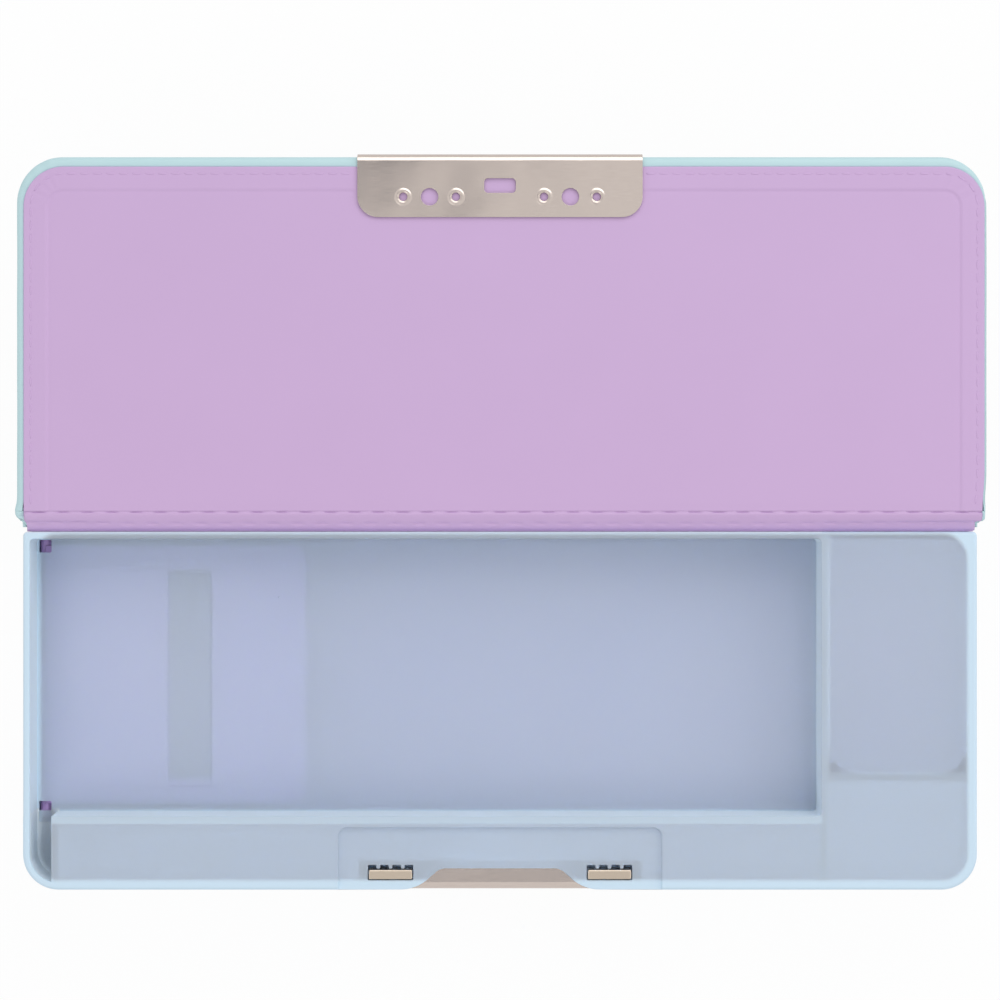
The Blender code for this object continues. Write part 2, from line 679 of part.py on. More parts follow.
def build_lid_layers(name, axis, foam_finish, board_finish, lining_finish):
    """Foam, board and lining, each lying on the one before, and the clasp's seat in the lining."""
    rear = HINGE_REACH + LID_REAR_WALL
    low = LID_SKIN - LID_THICKNESS + PLAY
    foam = rounded_loop(foam_corners(rear + PLAY), -PLAY)
    prism(name + "_foam", foam, low, low + LID_FOAM, foam_finish, axis)
    low += LID_FOAM + PLAY
    board = rounded_loop(lining_corners(rear + PLAY), -PLAY)
    prism(name + "_board", board, low, low + LID_BOARD, board_finish, axis)
    outline = rounded_loop(lining_corners(HINGE_REACH))
    lining = prism(name + "_lining", outline, -LID_LINING, 0, lining_finish, axis)
    seat = clasp_seat(
        name + "_inner_seat", -CLASP_SEAT, OVERRUN, CLASP_INNER_LEG, CLASP_CORNER, axis
    )
    cut(lining, seat)


def clasp_stations():
    """Half width, inner and outer (y, z) points along the clasp, from the inner leg to the outer."""
    front = LID_FRONT + PLAY
    upper = PLAY - CLASP_SEAT
    lower = CLASP_FLUSH + CLASP_THICKNESS - LID_THICKNESS
    wide = CLASP_LENGTH / 2
    bend = CLASP_BEND
    outer = bend + CLASP_THICKNESS
    inner_end = front + CLASP_THICKNESS - CLASP_INNER_LEG
    outer_end = front + CLASP_THICKNESS - CLASP_OUTER_LEG
    arc_steps = CORNER_STEPS + round(CLASP_CORNER / CORNER_STEP_SIZE)
    quarter = [math.pi / 2 * step / arc_steps for step in range(arc_steps + 1)]
    bends = [math.pi / 2 * step / EDGE_STEPS for step in range(EDGE_STEPS + 1)]
    stations = []
    for a in quarter:
        y = inner_end + CLASP_CORNER * (1 - math.cos(a))
        half = wide - CLASP_CORNER * (1 - math.sin(a))
        stations.append((half, (y, upper), (y, upper + CLASP_THICKNESS)))
    for a in bends:
        ways = (math.sin(a), math.cos(a))
        inside = (front - bend + bend * ways[0], upper - bend + bend * ways[1])
        outside = (front - bend + outer * ways[0], upper - bend + outer * ways[1])
        stations.append((wide, inside, outside))
    for a in bends:
        ways = (math.cos(a), math.sin(a))
        inside = (front - bend + bend * ways[0], lower + bend - bend * ways[1])
        outside = (front - bend + outer * ways[0], lower + bend - outer * ways[1])
        stations.append((wide, inside, outside))
    for a in reversed(quarter):
        y = outer_end + CLASP_OUTER_CORNER * (1 - math.cos(a))
        half = wide - CLASP_OUTER_CORNER * (1 - math.sin(a))
        stations.append((half, (y, lower), (y, lower - CLASP_THICKNESS)))
    return stations


def build_clasp(name, axis, material):
    """The folded plate, with a slot, two round holes and four staked holes through its inner leg."""
    loops = []
    for half, inside, outside in clasp_stations():
        loops.append([(-half, *inside), (half, *inside), (half, *outside), (-half, *outside)])
    clasp = loft(name + "_clasp", loops, material, axis)
    front = LID_FRONT + PLAY + CLASP_THICKNESS
    top = CLASP_PROUD
    low = top - CLASP_THICKNESS - PLAY
    high = top + PLAY
    half = SLOT_LENGTH / 2
    middle = front - SLOT_LINE
    slot = box_corners(-half, half, middle - SLOT_WIDTH / 2, middle + SLOT_WIDTH / 2, SLOT_CORNER)
    cut(clasp, prism(name + "_slot_cutter", rounded_loop(slot), low, high, parent=axis))
    line = front - CLASP_HOLE_LINE
    for side in (-1, 1):
        middle = side * CLASP_HOLE_SPACING / 2
        hole = circle(CLASP_HOLE / 2, middle, line)
        tag = "left" if side < 0 else "right"
        cut(clasp, prism(name + "_hole_cutter_" + tag, hole, low, high, parent=axis))
        for step in (-1, 1):
            x = middle + step * STAKE_PITCH / 2
            narrow = circle(STAKE_HOLE / 2, x, line)
            wide = circle(STAKE_MOUTH / 2, x, line)
            rings = [(narrow, low), (narrow, top - STAKE_DEPTH), (wide, top), (wide, high)]
            loops = [[(a, b, z) for a, b in ring] for ring, z in rings]
            place = "outer" if step == side else "inner"
            cutter = loft(name + "_stake_cutter_" + tag + "_" + place, loops, parent=axis)
            cut(clasp, cutter)


def build_lid(name, axis, finishes):
    """One padded lid, in the frame of its hinge axis: lining at z = 0 and front edge towards +y."""
    build_lid_skin(name, axis, finishes["skin"])
    build_lid_layers(name, axis, finishes["foam"], finishes["board"], finishes["lining"])
    build_clasp(name, axis, finishes["plating"])


def clip_profile():
    """The row of clips across the holder, seen along the pencils."""
    half = CLIP_ROW / 2
    tip = -CLIP_RADIUS - CLIP_RADIUS * math.sin(CLIP_WRAP)
    start = math.pi + CLIP_WRAP
    sweep = math.pi + 2 * CLIP_WRAP
    points = [(-half, HOLDER_PLATE / 2), (-half, tip)]
    for index in range(CLIP_COUNT):
        middle = (index + 1 / 2) * CLIP_PITCH - half
        for step in range(ARC_STEPS + 1):
            a = start - sweep * step / ARC_STEPS
            y = middle + CLIP_RADIUS * math.cos(a)
            points.append((y, CLIP_RADIUS * math.sin(a) - CLIP_RADIUS))
    return points + [(half, tip), (half, HOLDER_PLATE / 2)]


def build_holder(material):
    """The pencil holder, in the frame of its pivot: plate, rod and clips in one moulding."""
    half = HOLDER_HALF
    axis = empty_at("holder_axis", (ROD_X, HOLDER_MIDDLE, ROD_Z))
    corners = [
        (0, -half, 0),
        (HOLDER_LENGTH, -half, HOLDER_CORNER),
        (HOLDER_LENGTH, half, HOLDER_CORNER),
        (0, half, 0),
    ]
    holder = prism("pencil_holder", rounded_loop(corners), 0, HOLDER_PLATE, material, axis)
    rear = BAY_REAR + ROD_IN_WALL - HOLDER_MIDDLE
    front = BAY_FRONT - ROD_IN_BOSS - HOLDER_MIDDLE
    combine(holder, rod("holder_rod", ROD_RADIUS, 0, 0, front, rear, parent=axis), "UNION")
    clips = bar("holder_clips", clip_profile(), CLIP_START, CLIP_START + CLIP_LENGTH, parent=axis)
    combine(holder, clips, "UNION")
    slot_half = half - HOLDER_SLOT_MARGIN
    slot_end = HOLDER_SLOT_START + PANEL_WIDTH
    slot = box_corners(HOLDER_SLOT_START, slot_end, -slot_half, slot_half, HOLDER_SLOT_CORNER)
    high = HOLDER_PLATE + OVERRUN
    cut(holder, prism("holder_slot_cutter", rounded_loop(slot), -OVERRUN, high, parent=axis))


def settle_shapes():
    """Fixes each solid as cut, drops the cutters, and shades what is round smooth."""
    bpy.context.view_layer.update()
    graph = bpy.context.evaluated_depsgraph_get()
    solids = [thing for thing in bpy.data.objects if thing.type == "MESH" and not thing.hide_render]
    meshes = [bpy.data.meshes.new_from_object(body.evaluated_get(graph)) for body in solids]
    for body, mesh in zip(solids, meshes):
        body.modifiers.clear()
        body.data = mesh
        mesh.shade_smooth()
        mesh.set_sharp_from_angle(angle=SHARP_ANGLE)
        shading = body.modifiers.new("even_shading", "WEIGHTED_NORMAL")
        shading.keep_sharp = True
    for thing in list(bpy.data.objects):
        if thing.hide_render:
            bpy.data.objects.remove(thing, do_unlink=True)


def build_case():
    """The whole case."""
    clear_scene()
    finishes = {
        "tray": finish_of("blue_polypropylene", (0.52, 0.68, 0.84), 0.4),
        "skin": finish_of("blue_pvc_skin", (0.56, 0.76, 0.80), 0.45),
        "lining": finish_of("lilac_pvc_lining", (0.60, 0.42, 0.68), 0.4),
        "board": finish_of("greyboard", (0.45, 0.42, 0.38), 0.9),
        "foam": finish_of("white_foam", (0.85, 0.85, 0.83), 0.95),
        "plating": finish_of("nickel_plated_steel", (0.62, 0.57, 0.52), 0.25, 1.0),
        "holder": finish_of("lilac_polypropylene", (0.62, 0.45, 0.72), 0.4),
    }
    build_tray(finishes["tray"])
    build_magnets(finishes["plating"])
    build_spine(finishes["lining"], finishes["board"], finishes["skin"])
    build_hinges(finishes["lining"], finishes["skin"])
    build_lid("lid_a", empty_at("lid_a_axis", (0, HINGE_Y, SEAT_A)), finishes)
    build_lid("lid_b", empty_at("lid_b_axis", (0, HINGE_Y, SEAT_B), math.pi), finishes)
    build_holder(finishes["holder"])
    settle_shapes()


build_case()
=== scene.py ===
from math import acos, atan2, copysign, cos, exp, pi, radians, sin, sqrt, tan

import bmesh
import bpy
from mathutils import Matrix, Vector, noise


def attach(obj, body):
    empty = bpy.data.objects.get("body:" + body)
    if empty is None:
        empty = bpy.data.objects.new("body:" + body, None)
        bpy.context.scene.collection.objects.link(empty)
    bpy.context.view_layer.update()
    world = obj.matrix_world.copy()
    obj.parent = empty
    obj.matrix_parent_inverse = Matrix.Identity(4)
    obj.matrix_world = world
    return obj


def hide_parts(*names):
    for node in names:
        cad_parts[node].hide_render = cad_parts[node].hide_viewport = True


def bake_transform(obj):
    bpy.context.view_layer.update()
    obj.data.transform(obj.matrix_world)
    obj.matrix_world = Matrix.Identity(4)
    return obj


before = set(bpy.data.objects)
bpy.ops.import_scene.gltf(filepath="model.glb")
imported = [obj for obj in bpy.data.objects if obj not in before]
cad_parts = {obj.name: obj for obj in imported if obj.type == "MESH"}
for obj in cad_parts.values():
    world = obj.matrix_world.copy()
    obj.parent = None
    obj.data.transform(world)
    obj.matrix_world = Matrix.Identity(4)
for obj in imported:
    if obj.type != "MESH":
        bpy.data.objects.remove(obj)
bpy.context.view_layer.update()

scene = bpy.context.scene
scene.view_settings.view_transform = "Standard"


# ---- Studio ----
# A white table top seen from straight above, under a large softbox beyond the hinges and weaker ones
# at the front and the right. Two grey cards beside the camera are there for the clasps to mirror.
# All sizes in this file are in millimetres, and the calls that make objects turn them to metres.
TRAY_TOP = 31.3
CAMERA_OVER_RIM = 800.0
CAMERA_ALONG = 50.8
LENS = 119.55
SENSOR = 36.0
ROOM_LIGHT = 0.62
TABLE_HALF = 3000.0
TABLE_WHITE = 0.95
CARD_LEVEL = 860.0
MM = 0.001
WHITE = (1.0, 1.0, 1.0, 1.0)


def linear(code):
    """A colour written as sRGB hex, as the linear values that shaders take."""
    parts = [int(code[at:at + 2], 16) / 255 for at in (1, 3, 5)]
    return (*[c / 12.92 if c <= 0.04045 else ((c + 0.055) / 1.055) ** 2.4 for c in parts], 1.0)


def plug(node, inputs):
    """Sets inputs of a node. Each takes a value, or another node's output."""
    for name, value in inputs.items():
        if isinstance(value, bpy.types.NodeSocket):
            node.id_data.links.new(value, node.inputs[name])
        else:
            node.inputs[name].default_value = value


def add_node(tree, kind, inputs=None, **settings):
    """One node with its settings and inputs."""
    node = tree.nodes.new(kind)
    for name, value in settings.items():
        setattr(node, name, value)
    plug(node, inputs or {})
    return node


def larger(first, second):
    """The larger of two outputs."""
    both = {0: first, 1: second}
    return add_node(first.id_data, "ShaderNodeMath", both, operation="MAXIMUM").outputs[0]


def new_material(name, plain):
    """A material with plain values on its shader, and its shader and object coordinates."""
    made = bpy.data.materials.new(name)
    made.use_nodes = True
    shader = made.node_tree.nodes["Principled BSDF"]
    plug(shader, plain)
    return made, shader, add_node(made.node_tree, "ShaderNodeTexCoord").outputs["Object"]


def place_mesh(name, vertices, faces, material=None, edges=()):
    """An object at the origin from vertices in millimetres."""
    mesh = bpy.data.meshes.new(name)
    mesh.from_pydata([[c * MM for c in v] for v in vertices], edges, faces)
    if material:
        mesh.materials.append(material)
    body = bpy.data.objects.new(name, mesh)
    scene.collection.objects.link(body)
    return body


def box(left, right, front, rear, *radii):
    """The corners of a rectangle, anticlockwise, by one radius, or by those in front and behind."""
    near, far = radii[0], radii[-1]
    return [(left, front, near), (right, front, near), (right, rear, far), (left, rear, far)]


def lamp(name, place, aim, size, watts):
    """A square softbox at a place, facing a point."""
    data = bpy.data.lights.new(name, "AREA")
    data.size = size * MM
    data.energy = watts
    body = bpy.data.objects.new(name, data)
    body.location = [a * MM for a in place]
    body.rotation_euler = (Vector(aim) - Vector(place)).to_track_quat("-Z", "Y").to_euler()
    scene.collection.objects.link(body)


def rays(tree, *kinds):
    """1 for the kinds of ray that are named, and 0 for all others."""
    path = add_node(tree, "ShaderNodeLightPath").outputs
    share = path[kinds[0]]
    for kind in kinds[1:]:
        share = larger(share, path[kind])
    return share


camera = bpy.data.objects.new("camera", bpy.data.cameras.new("camera"))
camera.data.lens = LENS
camera.data.sensor_width = SENSOR
camera.location = (0, CAMERA_ALONG * MM, (TRAY_TOP + CAMERA_OVER_RIM) * MM)
scene.collection.objects.link(camera)
scene.camera = camera

lamp("softbox_behind", (260, 950, 900), (0, 50, 0), 1000, 5.2)
lamp("softbox_front", (-600, -600, 900), (0, 40, 0), 600, 2.0)
lamp("softbox_right", (950, 0, 560), (0, 0, 0), 500, 1.5)

world = bpy.data.worlds.new("white_room")
world.use_nodes = True
tree = world.node_tree
tree.nodes.clear()
direct = rays(tree, "Is Camera Ray", "Is Glossy Ray", "Is Transmission Ray")
room = add_node(tree, "ShaderNodeBackground", {"Color": WHITE, "Strength": ROOM_LIGHT})
white = add_node(tree, "ShaderNodeBackground", {"Color": WHITE})
either = add_node(tree, "ShaderNodeMixShader", {0: direct, 1: room.outputs[0], 2: white.outputs[0]})
add_node(tree, "ShaderNodeOutputWorld", {"Surface": either.outputs[0]})
scene.world = world

# A matt white laminate. What the camera and the reflections see of it is nearly all plain white, so
# that it has no edge, with a part of the object's shadow left on it.
surface = bpy.data.materials.new("matt_white_laminate")
surface.use_nodes = True
tree = surface.node_tree
tree.nodes.clear()
direct = rays(tree, "Is Camera Ray", "Is Glossy Ray")
share = add_node(tree, "ShaderNodeMath", {0: direct, 1: TABLE_WHITE}, operation="MULTIPLY")
board = add_node(tree, "ShaderNodeBsdfDiffuse", {"Color": linear("#F4F5F6")})
white = add_node(tree, "ShaderNodeEmission", {"Color": WHITE})
either = add_node(tree, "ShaderNodeMixShader", {
    0: share.outputs[0], 1: board.outputs[0], 2: white.outputs[0]})
add_node(tree, "ShaderNodeOutputMaterial", {"Surface": either.outputs[0]})

# Uncoated dark grey card, as photographers use it.
grey = new_material("matt_grey_card", {"Base Color": linear("#4C5468"), "Roughness": 0.95})[0]
for name, sides, level, coat in (
        ("table_top", (-TABLE_HALF, TABLE_HALF, -TABLE_HALF, TABLE_HALF), 0.0, surface),
        ("grey_card_behind", (-190.0, -30.0, 205.0, 300.0), CARD_LEVEL, grey),
        ("grey_card_front", (-85.0, 85.0, -175.0, -125.0), CARD_LEVEL, grey)):
    corners = [(x, y, level) for x, y, _ in box(*sides, 0)]
    plane = place_mesh(name, corners, [(0, 1, 2, 3)], coat)


# ---- Tray ----
# One injection moulding of milky blue polypropylene, open on both faces, with rounded rims, small
# radii in its corners, a thumb notch, seats for the clasps and pockets for the magnets.
TRAY_BOTTOM = 4.3
RIGHT = 115.0
LEFT = -RIGHT
REAR = 43.15
FRONT = -REAR
WALL = 1.7
PARTITION = 1.5
FLOOR_TOP = 18.3
FLOOR_UNDER = 16.7
PLATFORM_UNDER = 29.7
BAY_RIGHT = 77.4
BAY_FRONT = -25.35
STRIP_LEFT = -108.2
FRONT_CORNER = 8.6
REAR_CORNER = 1.1
INNER_CORNER = 1.0
RIM_EDGE = 0.8
EDGE_SOFTNESS = 0.22
BEYOND = 2.0
RECESS_DEPTH = 0.8
RECESS_REAR = -28.15
WELL_CORNER = 8.0
WELL_FRONT = -15.45
SEAT_HALF = 39.0
SOCKET_RADIUS = 1.5
BOSS_HALF = 33.995
BOSS_REAR = -36.25
ROD_X = -111.5
ROD_Z = 14.9
NOTCH_REAR = FRONT + 5.1
NOTCH_HALF = 14.45
NOTCH_SHOULDER = 20.2
NOTCH_MOUTH = 24.7
MAGNET_MIDDLE = 26.4
MAGNET_HALF = 5.25
POCKET_HALF = MAGNET_HALF + 0.2
POCKET_FRONT = -40.85
POCKET_REAR = -37.25
POCKET_CORNER = 0.25
UPPER_POCKET_FLOOR = 24.7
LOWER_POCKET_ROOF = 10.9
RIB_TIP = -38.15
RIB = 0.9
RIB_COUNT = 3
WINDOW_LEFT = -112.9
WINDOW_RIGHT = -109.8


def rounded(corners, grow=0.0, steps=10):
    """Points anticlockwise round corners of (x, y, radius) or (x, y), moved outwards by grow."""
    points = []
    for index, (x, y, *radius) in enumerate(corners):
        radius = radius[0] if radius else INNER_CORNER
        here = Vector((x, y))
        arriving = (here - Vector(corners[index - 1][:2])).normalized()
        leaving = (Vector(corners[(index + 1) % len(corners)][:2]) - here).normalized()
        turn = atan2(arriving.cross(leaving), arriving.dot(leaving))
        out_arriving = Vector((arriving.y, -arriving.x))
        out_leaving = Vector((leaving.y, -leaving.x))
        corner = here + (out_arriving + out_leaving) * grow / (1 + out_arriving.dot(out_leaving))
        if radius == 0:
            points.append(corner)
            continue
        side = copysign(1, turn)
        bend = max(radius + side * grow, 0)
        centre = corner - arriving * bend * tan(abs(turn) / 2) - out_arriving * side * bend
        for step in range(steps + 1):
            swing = Matrix.Rotation(turn * step / steps, 2)
            points.append(centre + swing @ (out_arriving * side * bend))
    return points


def closed(body):
    """The object with doubled corners joined and every face turned outwards."""
    shape = bmesh.new()
    shape.from_mesh(body.data)
    bmesh.ops.remove_doubles(shape, verts=shape.verts, dist=1e-7)
    bmesh.ops.recalc_face_normals(shape, faces=shape.faces)
    shape.to_mesh(body.data)
    shape.free()
    return body


def loft(name, loops, material=None):
    """A closed solid through loops of equal length, capped at both ends."""
    count = len(loops[0])
    vertices = [point for loop in loops for point in loop]
    faces = [list(range(count)), list(range(len(vertices) - count, len(vertices)))]
    for low in range(0, len(vertices) - count, count):
        for at in range(count):
            after = (at + 1) % count
            faces.append([low + at, low + after, low + count + after, low + count + at])
    return closed(place_mesh(name, vertices, faces, material))


def prism(name, outline, low, high):
    """An outline in X and Y, raised from low to high."""
    return loft(name, [[(x, y, z) for x, y in outline] for z in (low, high)])


def circle(radius, x, y, steps=32):
    """Points anticlockwise round a circle."""
    turns = [2 * pi * step / steps for step in range(steps)]
    return [(x + radius * cos(a), y + radius * sin(a)) for a in turns]


def stacked(profile, x, y, steps=32):
    """Circles round an upright axis, one for each (radius, z) of the profile."""
    return [[(a, b, z) for a, b in circle(radius, x, y, steps)] for radius, z in profile]


def rod(name, radius, start, end):
    """A round rod along Y, on the axis of the pencil holder's pivots."""
    return loft(name, [[(x, y, z) for x, z in circle(radius, ROD_X, ROD_Z)] for y in (start, end)])


def settled(body):
    """The object with its modifiers applied, and the objects that they used taken away."""
    used = [m.object for m in body.modifiers if m.type == "BOOLEAN"]
    bpy.context.view_layer.update()
    graph = bpy.context.evaluated_depsgraph_get()
    mesh = bpy.data.meshes.new_from_object(body.evaluated_get(graph))
    body.modifiers.clear()
    body.data = mesh
    for other in used:
        bpy.data.objects.remove(other, do_unlink=True)
    return body


def carve(body, other, operation="DIFFERENCE"):
    """Takes the other solid out of the body, or joins it on."""
    step = body.modifiers.new(other.name, "BOOLEAN")
    step.operation = operation
    step.solver = "EXACT"
    step.object = other
    other.hide_render = True


def shade_evenly(body):
    """Shades the whole smooth, except at sharp edges, with the large faces' normals leading."""
    body.data.shade_smooth()
    body.data.set_sharp_from_angle(angle=radians(50))
    step = body.modifiers.new("even_shading", "WEIGHTED_NORMAL")
    step.keep_sharp = True
    return settled(body)


def ease_edges(body, width, sharper_than=35):
    """Rounds every sharp edge a little, then shades the whole smooth."""
    shape = bmesh.new()
    shape.from_mesh(body.data)
    bmesh.ops.remove_doubles(shape, verts=shape.verts, dist=0.01 * MM)
    bmesh.ops.dissolve_degenerate(shape, edges=shape.edges, dist=0.002 * MM)
    bmesh.ops.dissolve_limit(shape, verts=shape.verts, edges=shape.edges, angle_limit=radians(0.5))
    shape.to_mesh(body.data)
    shape.free()
    step = body.modifiers.new("eased_edges", "BEVEL")
    step.width = width * MM
    step.segments = 2
    step.limit_method = "ANGLE"
    step.angle_limit = radians(sharper_than)
    step.use_clamp_overlap = False
    return shade_evenly(settled(body))


def quarter(steps=5):
    """Angles through a quarter turn."""
    return [pi / 2 * step / steps for step in range(steps + 1)]


tray_outline = box(LEFT, RIGHT, FRONT, REAR, FRONT_CORNER, REAR_CORNER)
foot = [(RIM_EDGE * (sin(a) - 1), TRAY_BOTTOM + RIM_EDGE * (1 - cos(a))) for a in quarter()]
head = [(RIM_EDGE * (cos(a) - 1), TRAY_TOP + RIM_EDGE * (sin(a) - 1)) for a in quarter()]
tray = loft("tray_moulding", [
    [(x, y, z) for x, y in rounded(tray_outline, grow, 14)] for grow, z in foot + head])

arc_radius = FRONT_CORNER - WALL
arc_x = LEFT + FRONT_CORNER
arc_y = FRONT + FRONT_CORNER
reach = sqrt(arc_radius**2 - (arc_x - STRIP_LEFT) ** 2)
sweep = acos((arc_x - STRIP_LEFT) / arc_radius)
arc = [(arc_x + arc_radius * cos(pi + sweep * step / 9),
        arc_y + arc_radius * sin(pi + sweep * step / 9), 0) for step in range(9)]
bay = rounded([(LEFT + WALL, REAR - WALL), *arc, (STRIP_LEFT, arc_y - reach, 0),
               (STRIP_LEFT, BAY_FRONT, 0), (BAY_RIGHT, BAY_FRONT), (BAY_RIGHT, REAR - WALL)], steps=6)
pens = rounded([(STRIP_LEFT + PARTITION, BAY_FRONT - PARTITION),
                (STRIP_LEFT + PARTITION, FRONT + WALL), (-BOSS_HALF, FRONT + WALL, 0),
                (-BOSS_HALF, BOSS_REAR), (BOSS_HALF, BOSS_REAR),
                (BOSS_HALF, FRONT + WALL, 0), (BAY_RIGHT, FRONT + WALL),
                (BAY_RIGHT, BAY_FRONT - PARTITION)], steps=6)
well_left = BAY_RIGHT + PARTITION
well_right = RIGHT - WALL
eraser = rounded([(well_left, REAR - WALL), (well_left, WELL_FRONT, WELL_CORNER),
                  (well_right, WELL_FRONT, WELL_CORNER), (well_right, REAR - WALL)])
clips_rear = WELL_FRONT - PARTITION
clips = rounded([(well_left, clips_rear), (well_left, FRONT + WALL),
                 (well_right, FRONT + WALL, FRONT_CORNER - WALL), (well_right, clips_rear)])
low = TRAY_BOTTOM - BEYOND
high = TRAY_TOP + BEYOND
carve(tray, prism("ruler_bay", bay, FLOOR_TOP, high))
carve(tray, prism("pencil_bay", bay, low, FLOOR_UNDER))
for name, outline in (("pen_channel", pens), ("eraser_well", eraser), ("clip_well", clips)):
    carve(tray, prism(name, outline, low, PLATFORM_UNDER))
socket = rounded(box(LEFT + WALL / 2, STRIP_LEFT + PARTITION / 2, -28.35, BAY_FRONT, 0))
carve(tray, prism("pivot_boss", socket, 10.8, 17.5), "UNION")
carve(tray, rod("rear_socket", SOCKET_RADIUS, 39.45, 42.35))
carve(tray, rod("front_socket", SOCKET_RADIUS, -26.95, -23.35))
seat = rounded(box(-SEAT_HALF, SEAT_HALF, FRONT - BEYOND, RECESS_REAR, 0, 2.1))
carve(tray, prism("upper_clasp_seat", seat, TRAY_TOP - RECESS_DEPTH, high))
carve(tray, prism("lower_clasp_seat", seat, low, TRAY_BOTTOM + RECESS_DEPTH))
notch = rounded([(-NOTCH_MOUTH, FRONT - BEYOND, 0), (NOTCH_MOUTH, FRONT - BEYOND, 0),
                 (NOTCH_MOUTH, FRONT, 0), (NOTCH_SHOULDER, FRONT, 10.0),
                 (NOTCH_HALF, NOTCH_REAR, 3.6), (-NOTCH_HALF, NOTCH_REAR, 3.6),
                 (-NOTCH_SHOULDER, FRONT, 10.0), (-NOTCH_MOUTH, FRONT, 0)])
carve(tray, prism("thumb_notch", notch, low, high))
for middle in (-MAGNET_MIDDLE, MAGNET_MIDDLE):
    left, edge = middle - POCKET_HALF, middle + POCKET_HALF
    pocket = [(left, POCKET_FRONT, 0), (edge, POCKET_FRONT, 0), (edge, POCKET_REAR, 0)]
    for _ in range(RIB_COUNT):
        edge -= (2 * POCKET_HALF - RIB_COUNT * RIB) / (RIB_COUNT + 1)
        pocket += [(edge, POCKET_REAR, POCKET_CORNER), (edge, RIB_TIP, POCKET_CORNER)]
        edge -= RIB
        pocket += [(edge, RIB_TIP, POCKET_CORNER), (edge, POCKET_REAR, POCKET_CORNER)]
    pocket.append((left, POCKET_REAR, 0))
    outline = rounded(pocket, steps=3)
    carve(tray, prism("upper_pocket", outline, UPPER_POCKET_FLOOR, high))
    carve(tray, prism("lower_pocket", outline, low, LOWER_POCKET_ROOF))
ease_edges(settled(tray), EDGE_SOFTNESS)
for name, start, long, under in (
        ("rear_window", 37.95, 3.1, FLOOR_UNDER - BEYOND),
        ("front_window", -25.3, 2.4, FLOOR_UNDER - BEYOND),
        ("boss_window", -28.0, 2.8, FLOOR_UNDER + 0.3)):
    opening = rounded(box(WINDOW_LEFT, WINDOW_RIGHT, start, start + long, 0.35), steps=4)
    carve(tray, prism(name, opening, under, FLOOR_TOP + BEYOND))
panel = rounded(box(-81.2, -70.6, -19.35, 32.75, 0.5), steps=4)
carve(tray, prism("floor_panel", panel, FLOOR_TOP - 0.2, FLOOR_TOP + BEYOND))
gate = (-54.1, 27.05)
dimple = [(1.2, FLOOR_TOP - 0.1), (1.7, FLOOR_TOP + 0.1)]
carve(tray, loft("gate_dimple", stacked(dimple, *gate, 24)))
nub = [(0.4, FLOOR_TOP - 0.4), (0.25, FLOOR_TOP + 0.1)]
carve(tray, loft("gate_nub", stacked(nub, *gate, 12)), "UNION")
shade_evenly(settled(tray))


def patchy(spot, size, detail=2.0, roughness=0.5):
    """Soft noise whose patches are about the size in millimetres."""
    return add_node(spot.id_data, "ShaderNodeTexNoise", {
        "Vector": spot, "Scale": 1000 / size, "Detail": detail, "Roughness": roughness}).outputs[0]


def mixed(share, first, second):
    """A colour between two, each of them hex or another node's output."""
    first, second = (linear(c) if isinstance(c, str) else c for c in (first, second))
    return add_node(share.id_data, "ShaderNodeMix", {
        0: share, 6: first, 7: second}, data_type="RGBA").outputs[2]


def ranged(share, low, high):
    """A value between two, by a share of 0 to 1."""
    return add_node(share.id_data, "ShaderNodeMapRange", {0: share, 3: low, 4: high}).outputs[0]


def grained(height, strength, depth, over=None):
    """The slopes of a fine relief, its depth in millimetres, which can lie over another's."""
    inputs = {"Height": height, "Strength": strength, "Distance": depth * MM}
    if over:
        inputs["Normal"] = over
    return add_node(height.id_data, "ShaderNodeBump", inputs).outputs[0]


# Polypropylene, natural with a little blue, moulded in a finely etched tool. Thin plates of it let
# the lilac below show through dimly. Over a wall it is seen edge on, so it looks denser and paler, and
# the same paler colour also paints in a glow of light scattered up through the walls, its strength set
# region by region. The walls round the bay and the narrow channel at the front left are painted
# palest, as painted light where the lamps leave them in shade.
milky, shader, spot = new_material("moulded_milky_blue_polypropylene", {
    "IOR": 1.49, "Roughness": 0.6})
tree = milky.node_tree
in_mm = add_node(tree, "ShaderNodeVectorMath", {0: spot, "Scale": 1000.0}, operation="SCALE")


def near_box(sides, radius, start, end, strength):
    """Rises from 0 to the strength between two distances from an upright box's rounded side."""
    middle = [(sides[k] + sides[k + 1]) / 2 for k in (0, 2, 4)]
    half = [(sides[k + 1] - sides[k]) / 2 - radius for k in (0, 2, 4)]
    none = (0.0, 0.0, 0.0)
    far = in_mm
    for step, other in (("SUBTRACT", middle), ("ABSOLUTE", none), ("SUBTRACT", half),
                        ("MAXIMUM", none), ("LENGTH", none)):
        far = add_node(tree, "ShaderNodeVectorMath", {0: far.outputs[0], 1: other}, operation=step)
    return add_node(tree, "ShaderNodeMapRange", {
        0: far.outputs["Value"], 1: radius + start, 2: radius + end, 3: 0.0, 4: strength},
        interpolation_type="SMOOTHSTEP").outputs[0]


